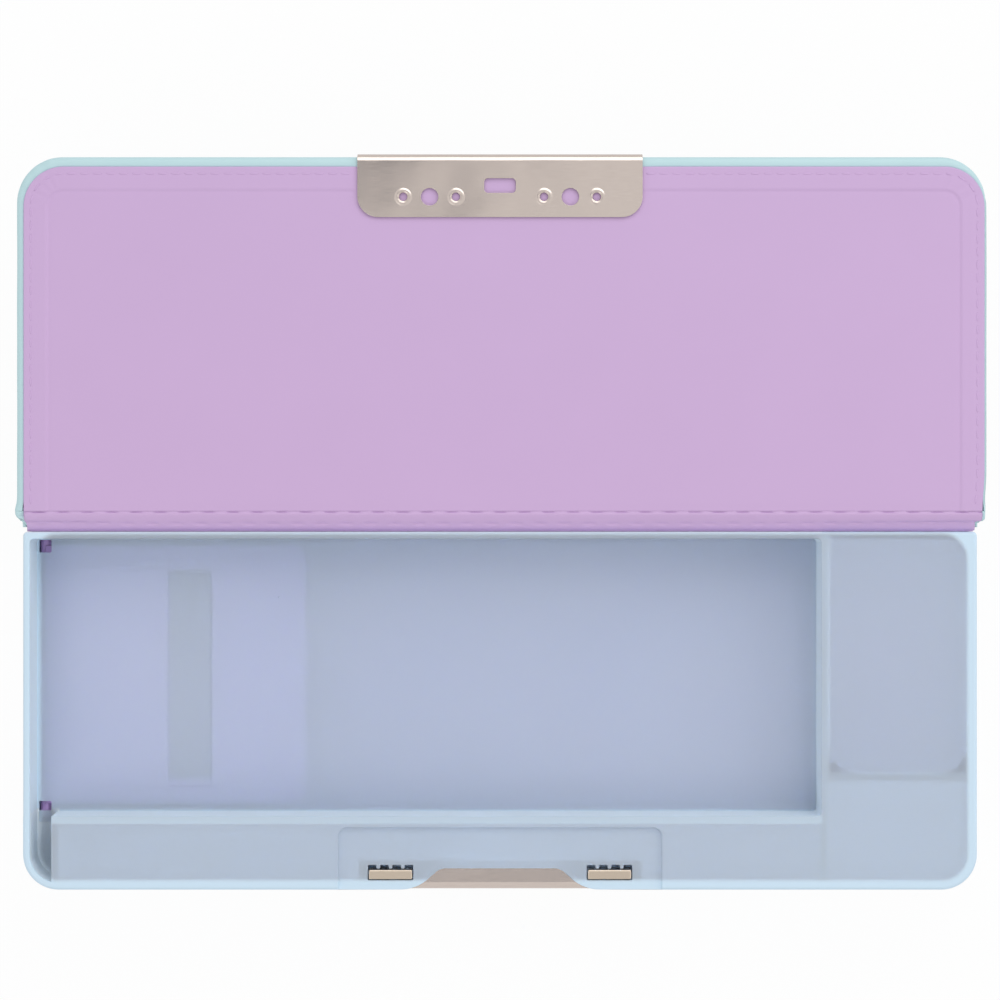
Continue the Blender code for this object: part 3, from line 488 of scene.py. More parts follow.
tall = (-99.0, 99.0)
walls = (FLOOR_TOP + 0.6, TRAY_TOP - 0.4)
bay_sides = (LEFT, BAY_RIGHT + 0.1, BAY_FRONT - 0.1, REAR, *walls)
# Paler and less clear where walls lie under the surface: partly plastic seen edge on, partly a painted
# glow of light scattered through the walls.
density_and_painted_glow = near_box((LEFT, RIGHT, FRONT, REAR + 2.0, *tall), FRONT_CORNER, -3.3, -1.6, 1.0)
for sides, fade, strength in (
        ((STRIP_LEFT, BAY_RIGHT, BAY_FRONT - PARTITION, BAY_FRONT, *tall), 0.9, 0.6),
        ((STRIP_LEFT, BAY_RIGHT, FRONT, BAY_FRONT, *tall), 0.3, 0.18),
        ((BAY_RIGHT, BAY_RIGHT + PARTITION, FRONT, REAR, *tall), 1.3, 0.32),
        ((BAY_RIGHT + PARTITION, RIGHT, FRONT, WELL_FRONT, *tall), 1.3, 0.22),
        (bay_sides, 0.3, 1.0),
        ((LEFT, STRIP_LEFT + 0.1, FRONT, BAY_FRONT, *walls), 0.3, 1.0)):
    density_and_painted_glow = larger(density_and_painted_glow, near_box(sides, 0.0, fade, 0.0, strength))
# Painted glow: the walls round the bay get a paler colour in place of light that the lamps don't bring
# there.
inner = near_box(bay_sides, 0.0, 0.3, 0.0, 0.7)
# Painted light: the floor and walls of the shaded narrow channel at the front left are coloured paler.
painted_light_in_channel = near_box((LEFT, STRIP_LEFT + 0.1, FRONT, BAY_FRONT + 0.4, FLOOR_TOP - 0.2, TRAY_TOP - 1.0),
                  0.0, 0.6, 0.0, 1.0)
tone = mixed(patchy(spot, 45), "#E2EEFF", "#E8F2FF")
tone = mixed(density_and_painted_glow, tone, "#D7EEFF")
# Painted light: the bay walls and the narrow channel take the palest colour.
tone = mixed(larger(inner, painted_light_in_channel), tone, "#EDF7FF")
plug(shader, {
    "Base Color": tone, "Transmission Weight": ranged(density_and_painted_glow, 0.6, 0.08),
    "Normal": grained(patchy(spot, 0.35), 0.12, 0.02)})
tray.data.materials.clear()
tray.data.materials.append(milky)
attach(tray, "tray")
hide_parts("tray")


# ---- Magnets ----
# Four sintered bar magnets, nickel plated over copper, pressed into the pockets of the front wall
# against three crush ribs each.
def streaky(spot, long, wide, detail):
    """Noise drawn out along X, its streaks of about the given length and width in millimetres."""
    drawn = add_node(spot.id_data, "ShaderNodeMapping", {
        "Vector": spot, "Scale": (1000 / long, 1000 / wide, 1000 / wide)})
    return add_node(spot.id_data, "ShaderNodeTexNoise", {
        "Vector": drawn.outputs[0], "Scale": 1.0, "Detail": detail}).outputs[0]


# Electroplated nickel, slightly brushed and a little dull.
plated, shader, spot = new_material("nickel_plated_magnet", {"Metallic": 1.0})
brushed = streaky(spot, 1.2, 0.05, 3.0)
plug(shader, {
    "Base Color": mixed(brushed, "#C9BBAA", "#B5A798"),
    "Roughness": ranged(brushed, 0.26, 0.42),
    "Normal": grained(brushed, 0.15, 0.02)})
for name in ("magnet_a_left", "magnet_a_right", "magnet_b_left", "magnet_b_right"):
    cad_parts[name].material_slots[0].material = plated


# ---- Pencil holder ----
# A lilac polypropylene moulding that swings on a rod from the tray's left end: a plate with a slot
# and a row of six snap clips. It shows through the tray's floor and in the two windows.
ROD_Y = 8.05
ROD_RADIUS = 1.42
HOLDER_HALF = 31.6
HOLDER_LENGTH = 63.8
PLATE = 1.5
CLIP_RADIUS = 4.1
CLIP_ROW = 61.2
CLIP_COUNT = 6
CLIPS_LEFT = ROD_X + 16.8
CLIPS_RIGHT = ROD_X + 27.9

plate = rounded([(ROD_X, ROD_Y - HOLDER_HALF, 0),
                 (ROD_X + HOLDER_LENGTH, ROD_Y - HOLDER_HALF, 3.0),
                 (ROD_X + HOLDER_LENGTH, ROD_Y + HOLDER_HALF, 3.0),
                 (ROD_X, ROD_Y + HOLDER_HALF, 0)])
holder = prism("swing_out_pencil_holder", plate, ROD_Z, ROD_Z + PLATE)
carve(holder, rod("holder_rod", ROD_RADIUS, -26.75, 42.15), "UNION")
wrap = radians(25)
tip = ROD_Z - CLIP_RADIUS * (1 + sin(wrap))
row = [(ROD_Y - CLIP_ROW / 2, ROD_Z + PLATE / 2), (ROD_Y - CLIP_ROW / 2, tip)]
for index in range(CLIP_COUNT):
    middle = ROD_Y - CLIP_ROW / 2 + (index + 0.5) * CLIP_ROW / CLIP_COUNT
    for step in range(19):
        a = pi + wrap - (pi + 2 * wrap) * step / 18
        row.append((middle + CLIP_RADIUS * cos(a), ROD_Z - CLIP_RADIUS + CLIP_RADIUS * sin(a)))
row += [(ROD_Y + CLIP_ROW / 2, tip), (ROD_Y + CLIP_ROW / 2, ROD_Z + PLATE / 2)]
ends = [[(x, y, z) for y, z in row] for x in (CLIPS_LEFT, CLIPS_RIGHT)]
carve(holder, loft("holder_clips", ends), "UNION")
slot = rounded(box(ROD_X + 30.3, ROD_X + 40.9, ROD_Y - 25.6, ROD_Y + 25.6, 1.0))
carve(holder, prism("holder_slot", slot, ROD_Z - BEYOND, ROD_Z + PLATE + BEYOND))
ease_edges(settled(holder), 0.15)

# Polypropylene, dyed lilac through and moulded: satin, with a faint cloudiness.
lilac, shader, spot = new_material("moulded_lilac_polypropylene", {
    "IOR": 1.49, "Roughness": 0.4, "Transmission Weight": 0.12})
plug(shader, {
    "Base Color": mixed(patchy(spot, 20), "#E0B2F0", "#E6BCF4"),
    "Normal": grained(patchy(spot, 0.3), 0.12, 0.02)})
holder.data.materials.append(lilac)
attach(holder, "pencil_holder")
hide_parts("pencil_holder")


# ---- Linings of the lids ----
# A lilac vinyl sheet glued over each lid's board and over the turned-in edge of the outer skin. The
# turned-in edge shows through it as a raised band along three sides, pleated at the round corners.
LIDS = (("lid_a", True), ("lid_b", False))
HINGE_Y = 44.05
SEAT_A = 31.6
SEAT_B = 4.0
HINGE_REACH = 4.0
LID_LEFT = -116.5
LID_RIGHT = 117.1
LID_FRONT = 89.45
LID_CORNER = 11.0
BORDER_LEFT = 1.75
BORDER_RIGHT = 0.4
BORDER_FRONT = 2.4
LINING = 0.6
SIDE_STEPS = 34
CORNER_STEPS = 18
FRONT_STEPS = 150
BAND = 5.6
BAND_TOP = -0.03
PANEL_TOP = -0.24
CLASP_HALF = 34.35
CLASP_INNER_END = 74.85


def smooth(value):
    """0 below 0, 1 above 1, and an S-curve between them."""
    t = min(max(value, 0.0), 1.0)
    return t * t * (3 - 2 * t)


def hump(value, width):
    """A bump of height 1 at 0, about as wide as given."""
    return exp(-(value / width) ** 2)


def waves(x, y, size, seed):
    """A slow, uneven wave between about -1 and 1."""
    return noise.noise(Vector((x / size, y / size, seed)))


def in_lid(upper):
    """Where a point of a lid goes in the case. The lower lid is the upper one turned half round."""
    turn, seat = (1, SEAT_A) if upper else (-1, SEAT_B)
    return lambda p: (turn * p[0], HINGE_Y + turn * p[1], seat + p[2])


def three_sides(inset, border=0.0):
    """Points from the hinge up the left side, along the front and back down the right side."""
    left = LID_LEFT + inset + border * BORDER_LEFT
    right = LID_RIGHT - inset - border * BORDER_RIGHT
    front = LID_FRONT - inset - border * BORDER_FRONT
    radius = max(LID_CORNER - inset - 1.4 * border, 0)
    level = front - radius
    rise = [HINGE_REACH + (level - HINGE_REACH) * (step / SIDE_STEPS) ** 1.5
            for step in range(SIDE_STEPS + 1)]
    bend = [(radius * sin(a), radius * cos(a)) for a in quarter(CORNER_STEPS)[1:]]
    span = right - left - 2 * radius
    points = [(left, y) for y in rise]
    points += [(left + radius - c, level + s) for s, c in bend]
    points += [(left + radius + span * step / FRONT_STEPS, front) for step in range(1, FRONT_STEPS + 1)]
    points += [(right - radius + s, level + c) for s, c in bend]
    return points + [(right, y) for y in reversed(rise[:-1])]


def as_sheet(name, points, faces, facing, thickness, material):
    """An open surface that faces the given way, with a live modifier for the sheet's thickness."""
    body = place_mesh(name, points, faces, material)
    shape = bmesh.new()
    shape.from_mesh(body.data)
    bmesh.ops.remove_doubles(shape, verts=shape.verts, dist=1e-6)
    total = sum((face.normal * face.calc_area() for face in shape.faces), Vector())
    if total.dot(Vector(facing)) < 0:
        bmesh.ops.reverse_faces(shape, faces=shape.faces)
    shape.to_mesh(body.data)
    shape.free()
    body.data.shade_smooth()
    step = body.modifiers.new("sheet_thickness", "SOLIDIFY")
    step.thickness = thickness * MM
    step.offset = -1
    return body


def woven(rows, count):
    """The faces between rows of points, count to a row."""
    return [(at, at + 1, at + count + 1, at + count) for row in range(rows - 1)
            for at in range(row * count, row * count + count - 1)]


def sheet_panel(name, lines, shape, place, facing, thickness, material):
    """A sheet through lines round three sides, filled across the middle."""
    count = len(lines[0])
    points = [p for line in lines for p in line]
    faces = woven(len(lines), count)
    last = len(points) - count
    start = last + SIDE_STEPS + CORNER_STEPS
    rows = []
    for row in range(SIDE_STEPS):
        left, right = points[last + row], points[last + count - 1 - row]
        middle = range(len(points), len(points) + FRONT_STEPS - 1)
        for step in range(1, FRONT_STEPS):
            share = step / FRONT_STEPS
            points.append(tuple(a + (b - a) * share for a, b in zip(left, right)))
        rows.append([last + row, *middle, last + count - 1 - row])
    rows.append(list(range(start, start + FRONT_STEPS + 1)))
    for low, high in zip(rows, rows[1:]):
        for at in range(FRONT_STEPS):
            faces.append((low[at], high[at], high[at + 1], low[at + 1]))
    return as_sheet(name, [place(shape(p)) for p in points], faces, facing, thickness, material)


def clasp_print(x, y, half, rear, spread):
    """1 where the clasp presses on the lid, falling to 0 a little way round it."""
    across = smooth((half + spread - abs(x)) / spread)
    return across * smooth((y - rear + spread) / spread)


def dashes(x, shift=0.0):
    """1 at each pressed stitch along a hinge, 0 between them."""
    return smooth(0.45 + 1.3 * cos(2 * pi * (x + shift) / 5.85))


def pleats(x, y, depth):
    """Small folds of the turned-in skin, which fan out round the two front corners."""
    folds = 0.0
    for side, edge in ((1, LID_RIGHT), (-1, -LID_LEFT)):
        across = side * x - (edge - LID_CORNER)
        along = y - (LID_FRONT - LID_CORNER)
        if across > 0 and along > 0:
            angle = atan2(along, across)
            folds += sin(17 * angle + side) * smooth(angle * 4) * smooth((pi / 2 - angle) * 4)
    return folds * hump(depth - 3.0, 2.2)


def drawn_in(x, y):
    """How far the lid's right side is drawn in near the hinge."""
    return 0.5 * smooth((14 - y) / 10) * smooth((x - 112) / 3)


def lining_height(point):
    """The lining's surface: band, panel, pleats, the print of the clasp and the fall to the hinge."""
    x, y, z, depth = point
    z += BAND_TOP + (PANEL_TOP - BAND_TOP) * smooth((depth - BAND + 0.35) / 0.7)
    z -= 0.05 * hump(depth - BAND - 0.5, 0.3) + 0.04 * hump(depth - 1.8, 0.5)
    z += 0.07 * pleats(x, y, depth) + 0.02 * waves(x, y, 14, 3) + 0.02 * waves(x, y, 40, 7)
    z -= 0.13 * (1 - smooth((y - HINGE_REACH) / 2.6))
    pressed = clasp_print(x, y, CLASP_HALF + 0.1, CLASP_INNER_END - 0.1, 0.8)
    z += min(-0.34 - z, 0) * pressed
    return x - drawn_in(x, y), y, z


lining_insets = [0, 0.12, 0.5, 0.9, 1.3, 1.6, 1.9, 2.3, 2.8, 3.4, 4.1, 4.8, 5.25, 5.45, 5.65, 5.85, 6.05,
                 6.3, 6.8, 7.6, 8.8, 10.2, 11.4, 12.2, 13.0, 14.0, 16.0]
lining_lines = [[(x, y, 0.0 if inset else -0.05, inset) for x, y in three_sides(inset, 1.0)]
                for inset in lining_insets]


def calendered_vinyl(name, roughness, patch, first, second):
    """Calendered vinyl sheet with a fine grain and faint patches, their size in millimetres."""
    made, shader, spot = new_material(name, {"IOR": 1.53, "Roughness": roughness})
    plug(shader, {
        "Base Color": mixed(patchy(spot, patch, 3.0, 0.6), first, second),
        "Normal": grained(patchy(spot, 0.6, 3.0), 0.1, 0.05)})
    return made


# Calendered vinyl sheet, dyed lilac: satin, with a very fine leather grain that shows only where
# light grazes it, and a faint unevenness of tone. The grain is drawn about twice as coarse.
lilac_vinyl = calendered_vinyl("calendered_lilac_vinyl", 0.5, 30, "#CBACD6", "#CFAFDA")

for body, upper in LIDS:
    lining = sheet_panel(body + "_lining_sheet", lining_lines, lining_height, in_lid(upper),
                         (0, 0, 1), LINING, lilac_vinyl)
    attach(lining, body)
    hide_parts(body + "_lining")


# ---- Outer skins of the lids ----
# Light blue vinyl, stretched over foam and board, folded round the edges and turned in under the
# lining. A rounded border of it shows round the lining, and the clasp's outer leg presses it in.
SKIN = 0.6
CLASP_OUTER_END = 82.15
skin_path = [(1.04, 0, -0.46), (1.0, 0, -0.42), (0.85, 0, -0.38), (0.6, 0, -0.4), (0.35, 0, -0.52),
             (0.16, 0, -0.74), (0.05, 0, -1.02), (0, 0, -1.45), (0, 0, -2.1), (0, 0.05, -2.7),
             (0, 0.24, -3.2), (0, 0.6, -3.58), (0, 1.15, -3.83), (0, 1.9, -3.95)]
skin_path += [(0, inset, -4.0) for inset in (3.0, 4.5, 5.8, 6.8, 7.6, 8.4, 10.0, 16.0)]
skin_lines = [[(x, y, z, inset) for x, y in three_sides(inset, border)]
              for border, inset, z in skin_path]


def skin_height(upper):
    """The skin's surface: clasp print, slow waves, and its end, gathered to the hinge."""
    low, high = (-1.5, -0.5) if upper else (-3.95, -0.5)

    def shape(point):
        x, y, z, depth = point
        if z < -2.4:
            z += 0.83 * clasp_print(x, y, CLASP_HALF + 0.1, CLASP_OUTER_END - 0.1, 1.1)
        edge = smooth((2.2 + z) / 1.2)
        z += edge * (0.035 * waves(x, y, 9, 5) + 0.1 * pleats(x, y, 2.4))
        near = 1 - smooth((y - HINGE_REACH) / (2.4 if upper else 3.0))
        z += (low + (z + 4.0) * (high - low) / 3.52 - z) * near
        swell = 0.4 * hump(y - 4.2, 1.8) * smooth((abs(x) - 112) / 3) if upper else 0.0
        inwards = drawn_in(x, y) - 0.05 * waves(x, y, 12, 9) * smooth((abs(x) - 114) / 2)
        return x + copysign(swell, x) - inwards, y, z

    return shape


# The same calendered vinyl in light blue, a little shinier where it is stretched over the foam.
blue_vinyl = calendered_vinyl("calendered_light_blue_vinyl", 0.44, 26, "#BBDBE0", "#C3E0E5")

for body, upper in LIDS:
    cover = sheet_panel(body + "_skin_cover", skin_lines, skin_height(upper), in_lid(upper),
                        (0, 0, -1), SKIN, blue_vinyl)
    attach(cover, body)
    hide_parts(body + "_skin")


# ---- Hinges and spine ----
# The lining and the skin run on bare from each lid over the spine, pressed flat along the lids'
# ends and bent round the spine's edges. The spine is a strip of board between the two sheets.
SPINE_LOW = 6.4
SPINE_HIGH = 29.2
SPINE_INSIDE = 43.22
SPINE_OUTSIDE = 46.25
SPINE_END = 115.4
SPINE_LINING_END = 114.2
SPINE_LINING = 0.8
UPPER_LEFT = -114.75
UPPER_RIGHT = 116.2
LOWER_END = 114.4
STRIP_STATIONS = 120
LINING_STATIONS = 400


def arc_points(y, z, radius, start, stop, steps=7):
    """Points round an arc, by angles in degrees from +Y towards +Z."""
    turns = [radians(start + (stop - start) * step / steps) for step in range(steps + 1)]
    return [(y + radius * cos(a), z + radius * sin(a)) for a in turns]


def even_stations(left, right, steps=STRIP_STATIONS):
    """Even places along X, each with no shift in depth."""
    return [(left + (right - left) * step / steps, 0.0) for step in range(steps + 1)]


def strip(name, path, stations, shape, facing, thickness, material):
    """A sheet that is drawn along X through (x, shift) stations, each a path of (y, z) points."""
    points = [shape(x, y + shift, z) for x, shift in stations for y, z in path]
    return as_sheet(name, points, woven(len(stations), len(path)), facing, thickness, material)


def upper_reach(side, along, height):
    """How far the upper skin reaches along X on one side, behind and above the hinge's axis."""
    reach = 114.9 + 2.1 * smooth((along - 1.0) / 1.2)
    if side <= 0:
        reach = 114.2 + 2.7 * smooth(along / 3.4)
    return min(reach, SPINE_END + 2 * smooth((height + 2.4) / 0.6))


def upper_edge(side, along):
    """How far the upper lining reaches along X there."""
    if side > 0:
        return UPPER_RIGHT - 1.6 * smooth((1.9 - along) / 1.5)
    return -UPPER_LEFT - 0.6 * smooth((2.4 - along) / 2.4)


def lower_reach(side, along, height):
    """How far the lower skin reaches along X there."""
    lid = -LID_LEFT if side > 0 else LID_RIGHT - 0.5
    return 114.7 + 0.7 * smooth(along / 1.2) + (lid - 114.7) * smooth((-0.6 - along) / 3.0)


def lower_edge(side, along):
    """How far the lower lining reaches along X there."""
    lid = -LID_LEFT - BORDER_LEFT if side > 0 else LID_RIGHT - BORDER_RIGHT - 0.5
    return LOWER_END + (lid - LOWER_END) * smooth((-0.6 - along) / 3.0)


def closed_strip(name, under, over, reach, edge, bend, seat, facing):
    """A strip of skin along a hinge. Its two ends turn over and tuck in under the lining's edge."""
    right = [(1, pi * step / 10, False) for step in range(11)] + [(1, pi, True)]
    left = [(-1, a, tucked) for _, a, tucked in reversed(right)]
    between = [(2 * step / STRIP_STATIONS - 1, 0.0, False) for step in range(1, STRIP_STATIONS)]
    stations = left + between + right
    points = []
    for share, a, tucked in stations:
        rise = (1 - cos(a)) / 2
        for (y, z), (over_y, over_z), deep in zip(under, over, bend):
            along = y + (over_y - y) * rise
            height = z + (over_z - z) * rise
            x = reach(share, along, height) - deep * (1 - sin(a))
            inside = edge(share, over_y) - 0.15
            x = share * (inside if tucked else max(x, inside) if a > pi / 2 else x)
            points.append((x, HINGE_Y + along, seat + height + 0.03 * waves(x, y, 7, 31)))
    return as_sheet(name, points, woven(len(stations), len(under)), facing, SKIN, blue_vinyl)


def pulled_back(x, along, z):
    """How far the upper lining stands off the tray near its ends, where it isn't held down."""
    gap = 0.75 * smooth((-89 - x) / 14) + 0.35 * smooth((x - 55) / 30) + 0.6 * smooth((x - 84) / 24)
    return gap * smooth((z - SPINE_HIGH) / 1.2) * (1 - smooth((along + 0.3) / 2.6))


def upper_lining(x, y, z):
    """The upper strip of lining: a scalloped crease along the lid, waves, and ends that draw in."""
    along = y - HINGE_Y
    x = copysign(min(abs(x), upper_edge(x, along)), x)
    level = smooth((z - 30.0) / 0.8)
    stitch = dashes(x)
    z -= (0.1 + 0.24 * stitch) * hump(along - 3.7 - 0.12 * stitch, 0.17)
    z -= 0.2 * hump(along - 1.05, 0.3) * dashes(x, 2.0)
    z += level * (0.05 * waves(x, y, 5, 21) + 0.035 * waves(x, y, 2.2, 4))
    return x, y + pulled_back(x, along, z), z


def lower_lining(x, y, z):
    """The lower strip of lining, wider at the lid than round the spine, with its pressed dashes."""
    z += 0.02 * waves(x, y, 7, 33) - 0.09 * hump(y - HINGE_Y + 1.9, 0.3) * dashes(x)
    return x * lower_edge(x, y - HINGE_Y) / LOWER_END, y, z


def spine_cushion(x, y, z):
    """The spine's skin, drawn over its board's edges and corners, and a little full between."""
    middle = (z - SPINE_LOW) / (SPINE_HIGH - SPINE_LOW)
    full = 0.22 * smooth(4 * min(middle, 1 - middle)) - 0.06
    full *= 1 + (y - SPINE_OUTSIDE) / 2.1
    along = y - HINGE_Y
    end = upper_reach(x, along, -2.4) if middle > 0.5 else lower_reach(x, along, 2.4)
    inwards = min(z - SPINE_LOW, SPINE_HIGH - z, 1.0)
    limit = SPINE_END - (SPINE_END - end) * (1 - sqrt(1 - (1 - inwards) ** 2))
    return copysign(min(abs(x), limit), x), y + full, z


top = [(4.05, -0.38), (3.97, -0.36), (3.89, -0.32), (3.81, -0.28), (3.73, -0.24), (3.65, -0.2),
       (3.55, -0.16), (3.4, -0.13), (3.2, -0.17), (2.95, -0.25), (2.7, -0.36), (2.3, -0.55),
       (1.9, -0.76), (1.6, -0.92), (1.4, -1.04), (1.2, -1.16), (1.05, -1.24), (0.9, -1.33),
       (0.7, -1.45), (0.5, -1.57), (0.3, -1.7), (0.1, -1.83), (-0.1, -1.97), (-0.3, -2.12),
       (-0.45, -2.25), (-0.55, -2.37), (-0.6, -2.5)]
path = [(HINGE_Y + y, SEAT_A + z) for y, z in top]
upper = strip("lid_a_hinge_lining", path, even_stations(UPPER_LEFT, UPPER_RIGHT, LINING_STATIONS),
              upper_lining, (0, -0.4, 1), LINING, lilac_vinyl)
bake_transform(upper)
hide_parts("hinge_a_lining")

under = [(4.05, -1.5), (3.4, -1.48), (2.9, -1.5), *arc_points(2.6, -1.9, 0.4, 90, 180, 5), (2.2, -2.4)]
over = [(4.05, -0.5), (3.3, -0.66), (2.5, -1.02), (2.1, -1.2), (1.7, -1.41), (1.3, -1.62), (0.95, -1.82),
        (0.6, -2.02), (0.3, -2.2), (0.1, -2.4)]
upper = closed_strip("lid_a_hinge_skin", under, over, upper_reach, upper_edge, [0.43] * 10, SEAT_A,
                     (0, 0.5, -1))
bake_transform(upper)
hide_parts("hinge_a_skin")

top = [(-4.05, -0.37), (-3.7, -0.2), (-3.3, -0.04), (-2.6, 0.0), (-2.2, 0.0), (-1.9, 0.0), (-1.6, 0.0),
       *arc_points(-0.9, 0.3, 0.3, -90, 0, 4), (-0.6, 2.4)]
path = [(HINGE_Y + y, SEAT_B + z) for y, z in top]
lower = strip("lid_b_hinge_lining", path, even_stations(-LOWER_END, LOWER_END, LINING_STATIONS),
              lower_lining, (0, -0.5, 1), LINING, lilac_vinyl)
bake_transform(lower)
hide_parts("hinge_b_lining")

under = [(-4.05, -3.95), (-3.2, -3.93), (-2.4, -3.91), *arc_points(-1.6, -0.1, 3.8, -90, 0, 12),
         (2.2, 1.2), (2.2, 2.4)]
over = [(-4.05, -0.55), (-3.3, -0.58), (-2.7, -0.6)]
over += [(-2.2 + 2.2 * step / 12, -0.6 + 0.6 * (step / 12) ** 2) for step in range(13)]
over += [(0.05, 1.2), (0.05, 2.4)]
bend = [0.5 + 1.1 * smooth((-0.6 - y) / 3.0) for y, z in under]
lower = closed_strip("lid_b_hinge_skin", under, over, lower_reach, lower_edge, bend, SEAT_B, (0, 1, -1))
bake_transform(lower)
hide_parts("hinge_b_skin")

rounding = [0.0, 0.04, 0.12, 0.25, 0.42, 0.65, 1.0]
tall = [SPINE_LOW + z for z in rounding]
tall += [SPINE_LOW + 2 + (SPINE_HIGH - SPINE_LOW - 4) * step / 18 for step in range(19)]
tall += [SPINE_HIGH - z for z in reversed(rounding)]
wrap_in = [(-SPINE_END, -2.0), (-SPINE_END, -1.4), (-SPINE_END, -0.8), (-115.3, -0.3), (-115.1, -0.05)]
around_board = wrap_in + even_stations(-114.6, 114.6) + [(-x, shift) for x, shift in reversed(wrap_in)]
spine = strip("spine_skin_cover", [(SPINE_OUTSIDE, z) for z in tall], around_board, spine_cushion,
              (0, 1, 0), SKIN, blue_vinyl)
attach(spine, "tray")
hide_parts("spine_skin")
spine = strip("spine_lining_strip", [(SPINE_INSIDE, z) for z in tall],
              even_stations(-SPINE_LINING_END, SPINE_LINING_END), lambda *point: point,
              (0, -1, 0), SPINE_LINING, lilac_vinyl)
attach(spine, "tray")
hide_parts("spine_lining")


# ---- Boards and padding ----
# Inside each lid, unseen: a sheet of grey millboard, and under it a thin pad of white foam with
# soft edges, cut away round the clasp. The spine has a board too.
CUT_HALF = 37.2
CUT_REAR = 78.6

# Waste-paper board, rolled and uncoated, with short grey fibres along its length.
millboard, shader, spot = new_material("rolled_grey_millboard", {"Roughness": 0.92})
pulp = streaky(spot, 0.5, 0.12, 4.0)
plug(shader, {
    "Base Color": mixed(pulp, "#8E8982", "#A39D94"), "Normal": grained(pulp, 0.3, 0.05)})
for name in ("lid_a_board", "lid_b_board", "spine_board"):
    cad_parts[name].material_slots[0].material = millboard

# Polyurethane foam, cut from a block, so that half-millimetre cells lie open.
foam, shader, spot = new_material("cut_white_polyurethane_foam", {"Roughness": 0.95})
cells = add_node(foam.node_tree, "ShaderNodeTexVoronoi", {
    "Vector": spot, "Scale": 1000 / 0.5}).outputs[0]
plug(shader, {
    "Base Color": mixed(cells, "#F1F0EA", "#DEDCD2"), "Normal": grained(cells, 0.4, 0.1)})

pad_rear = 7.0
pad_front = LID_FRONT - BORDER_FRONT - 0.6
pad_left = LID_LEFT + BORDER_LEFT + 0.6
pad_right = LID_RIGHT - BORDER_RIGHT - 1.2
pad_outline = [(pad_left, pad_rear, 2.0), (pad_right, pad_rear, 2.0), (pad_right, pad_front, 9.0),
               (CUT_HALF, pad_front, 1.5), (CUT_HALF, CUT_REAR, 2.0), (-CUT_HALF, CUT_REAR, 2.0),
               (-CUT_HALF, pad_front, 1.5), (pad_left, pad_front, 9.0)]
pad_rings = [(-1.4, -2.42), (-0.5, -2.27), (0.0, -2.22), (0.0, -2.5), (-0.3, -2.85), (-0.9, -3.08),
             (-1.9, -3.17)]
for body, upper in LIDS:
    place = in_lid(upper)
    rings = [[place((x, y, z)) for x, y in rounded(pad_outline, grow, 8)] for grow, z in pad_rings]
    pad = loft(body + "_foam_pad", rings, foam)
    pad.data.shade_smooth()
    pad.data.set_sharp_from_angle(angle=radians(60))
    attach(pad, body)
    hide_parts(body + "_foam")


# ---- Clasps ----
# A strip of nickel-plated steel folded over the front of each lid: blanked with a slot and two
# round holes, and staked to the board through four small holes whose lips are rolled outwards.
SHEET = 0.5
CLASP_TOP = 0.4
OUTER_UNDER = -3.4
CLASP_FACE = 90.15
FOLD = 1.35
BEND = 0.3
INNER_LEG_CORNER = 5.0
OUTER_LEG_CORNER = 3.0
SLOT_LINE = CLASP_FACE - 7.7
SLOT_HALF = 3.8
SLOT_WIDE = 1.75
HOLE_LINE = CLASP_FACE - 10.4
HOLE_X = 16.95
HOLE_RADIUS = 2.1
STAKE_STEP = 6.35
CUT_LOW = -0.6
CUT_HIGH = 1.2


def leg_end(end, corner, inner, outer):
    """The sections of a leg from its end, over its two round corners."""
    return [(CLASP_HALF - corner * (1 - sin(a)), (end + corner * (1 - cos(a)), inner),
             (end + corner * (1 - cos(a)), outer)) for a in quarter(12)]


def clasp_sections():
    """Half width, inner and outer (y, z) points, from the inner leg's end to the outer leg's."""
    face = CLASP_FACE - SHEET
    upper_side = CLASP_TOP - SHEET
    sections = leg_end(CLASP_INNER_END, INNER_LEG_CORNER, upper_side, CLASP_TOP)
    for y, z, radius, start in (
            (face - FOLD, upper_side - FOLD, FOLD, 90), (face - BEND, OUTER_UNDER + BEND, BEND, 0)):
        inside, outside = (arc_points(y, z, r, start, start - 90, 8) for r in (radius, radius + SHEET))
        sections += [(CLASP_HALF, *pair) for pair in zip(inside, outside)]
    outer = leg_end(CLASP_OUTER_END, OUTER_LEG_CORNER, OUTER_UNDER, OUTER_UNDER - SHEET)
    return sections + outer[::-1]


# Nickel plate over steel, rolled and polished: warm grey, with faint rolling marks along its
# length that stretch each reflection.
nickel, shader, spot = new_material("polished_nickel_plated_steel", {"Metallic": 1.0})
marks = streaky(spot, 3.6, 0.1, 4.0)
wavy = grained(patchy(spot, 16, 1.0), 0.5, 0.5)
plug(shader, {
    "Base Color": mixed(marks, "#BFB2AB", "#D0C5BD"),
    "Roughness": ranged(marks, 0.14, 0.26),
    "Normal": grained(marks, 0.1, 0.02, wavy)})

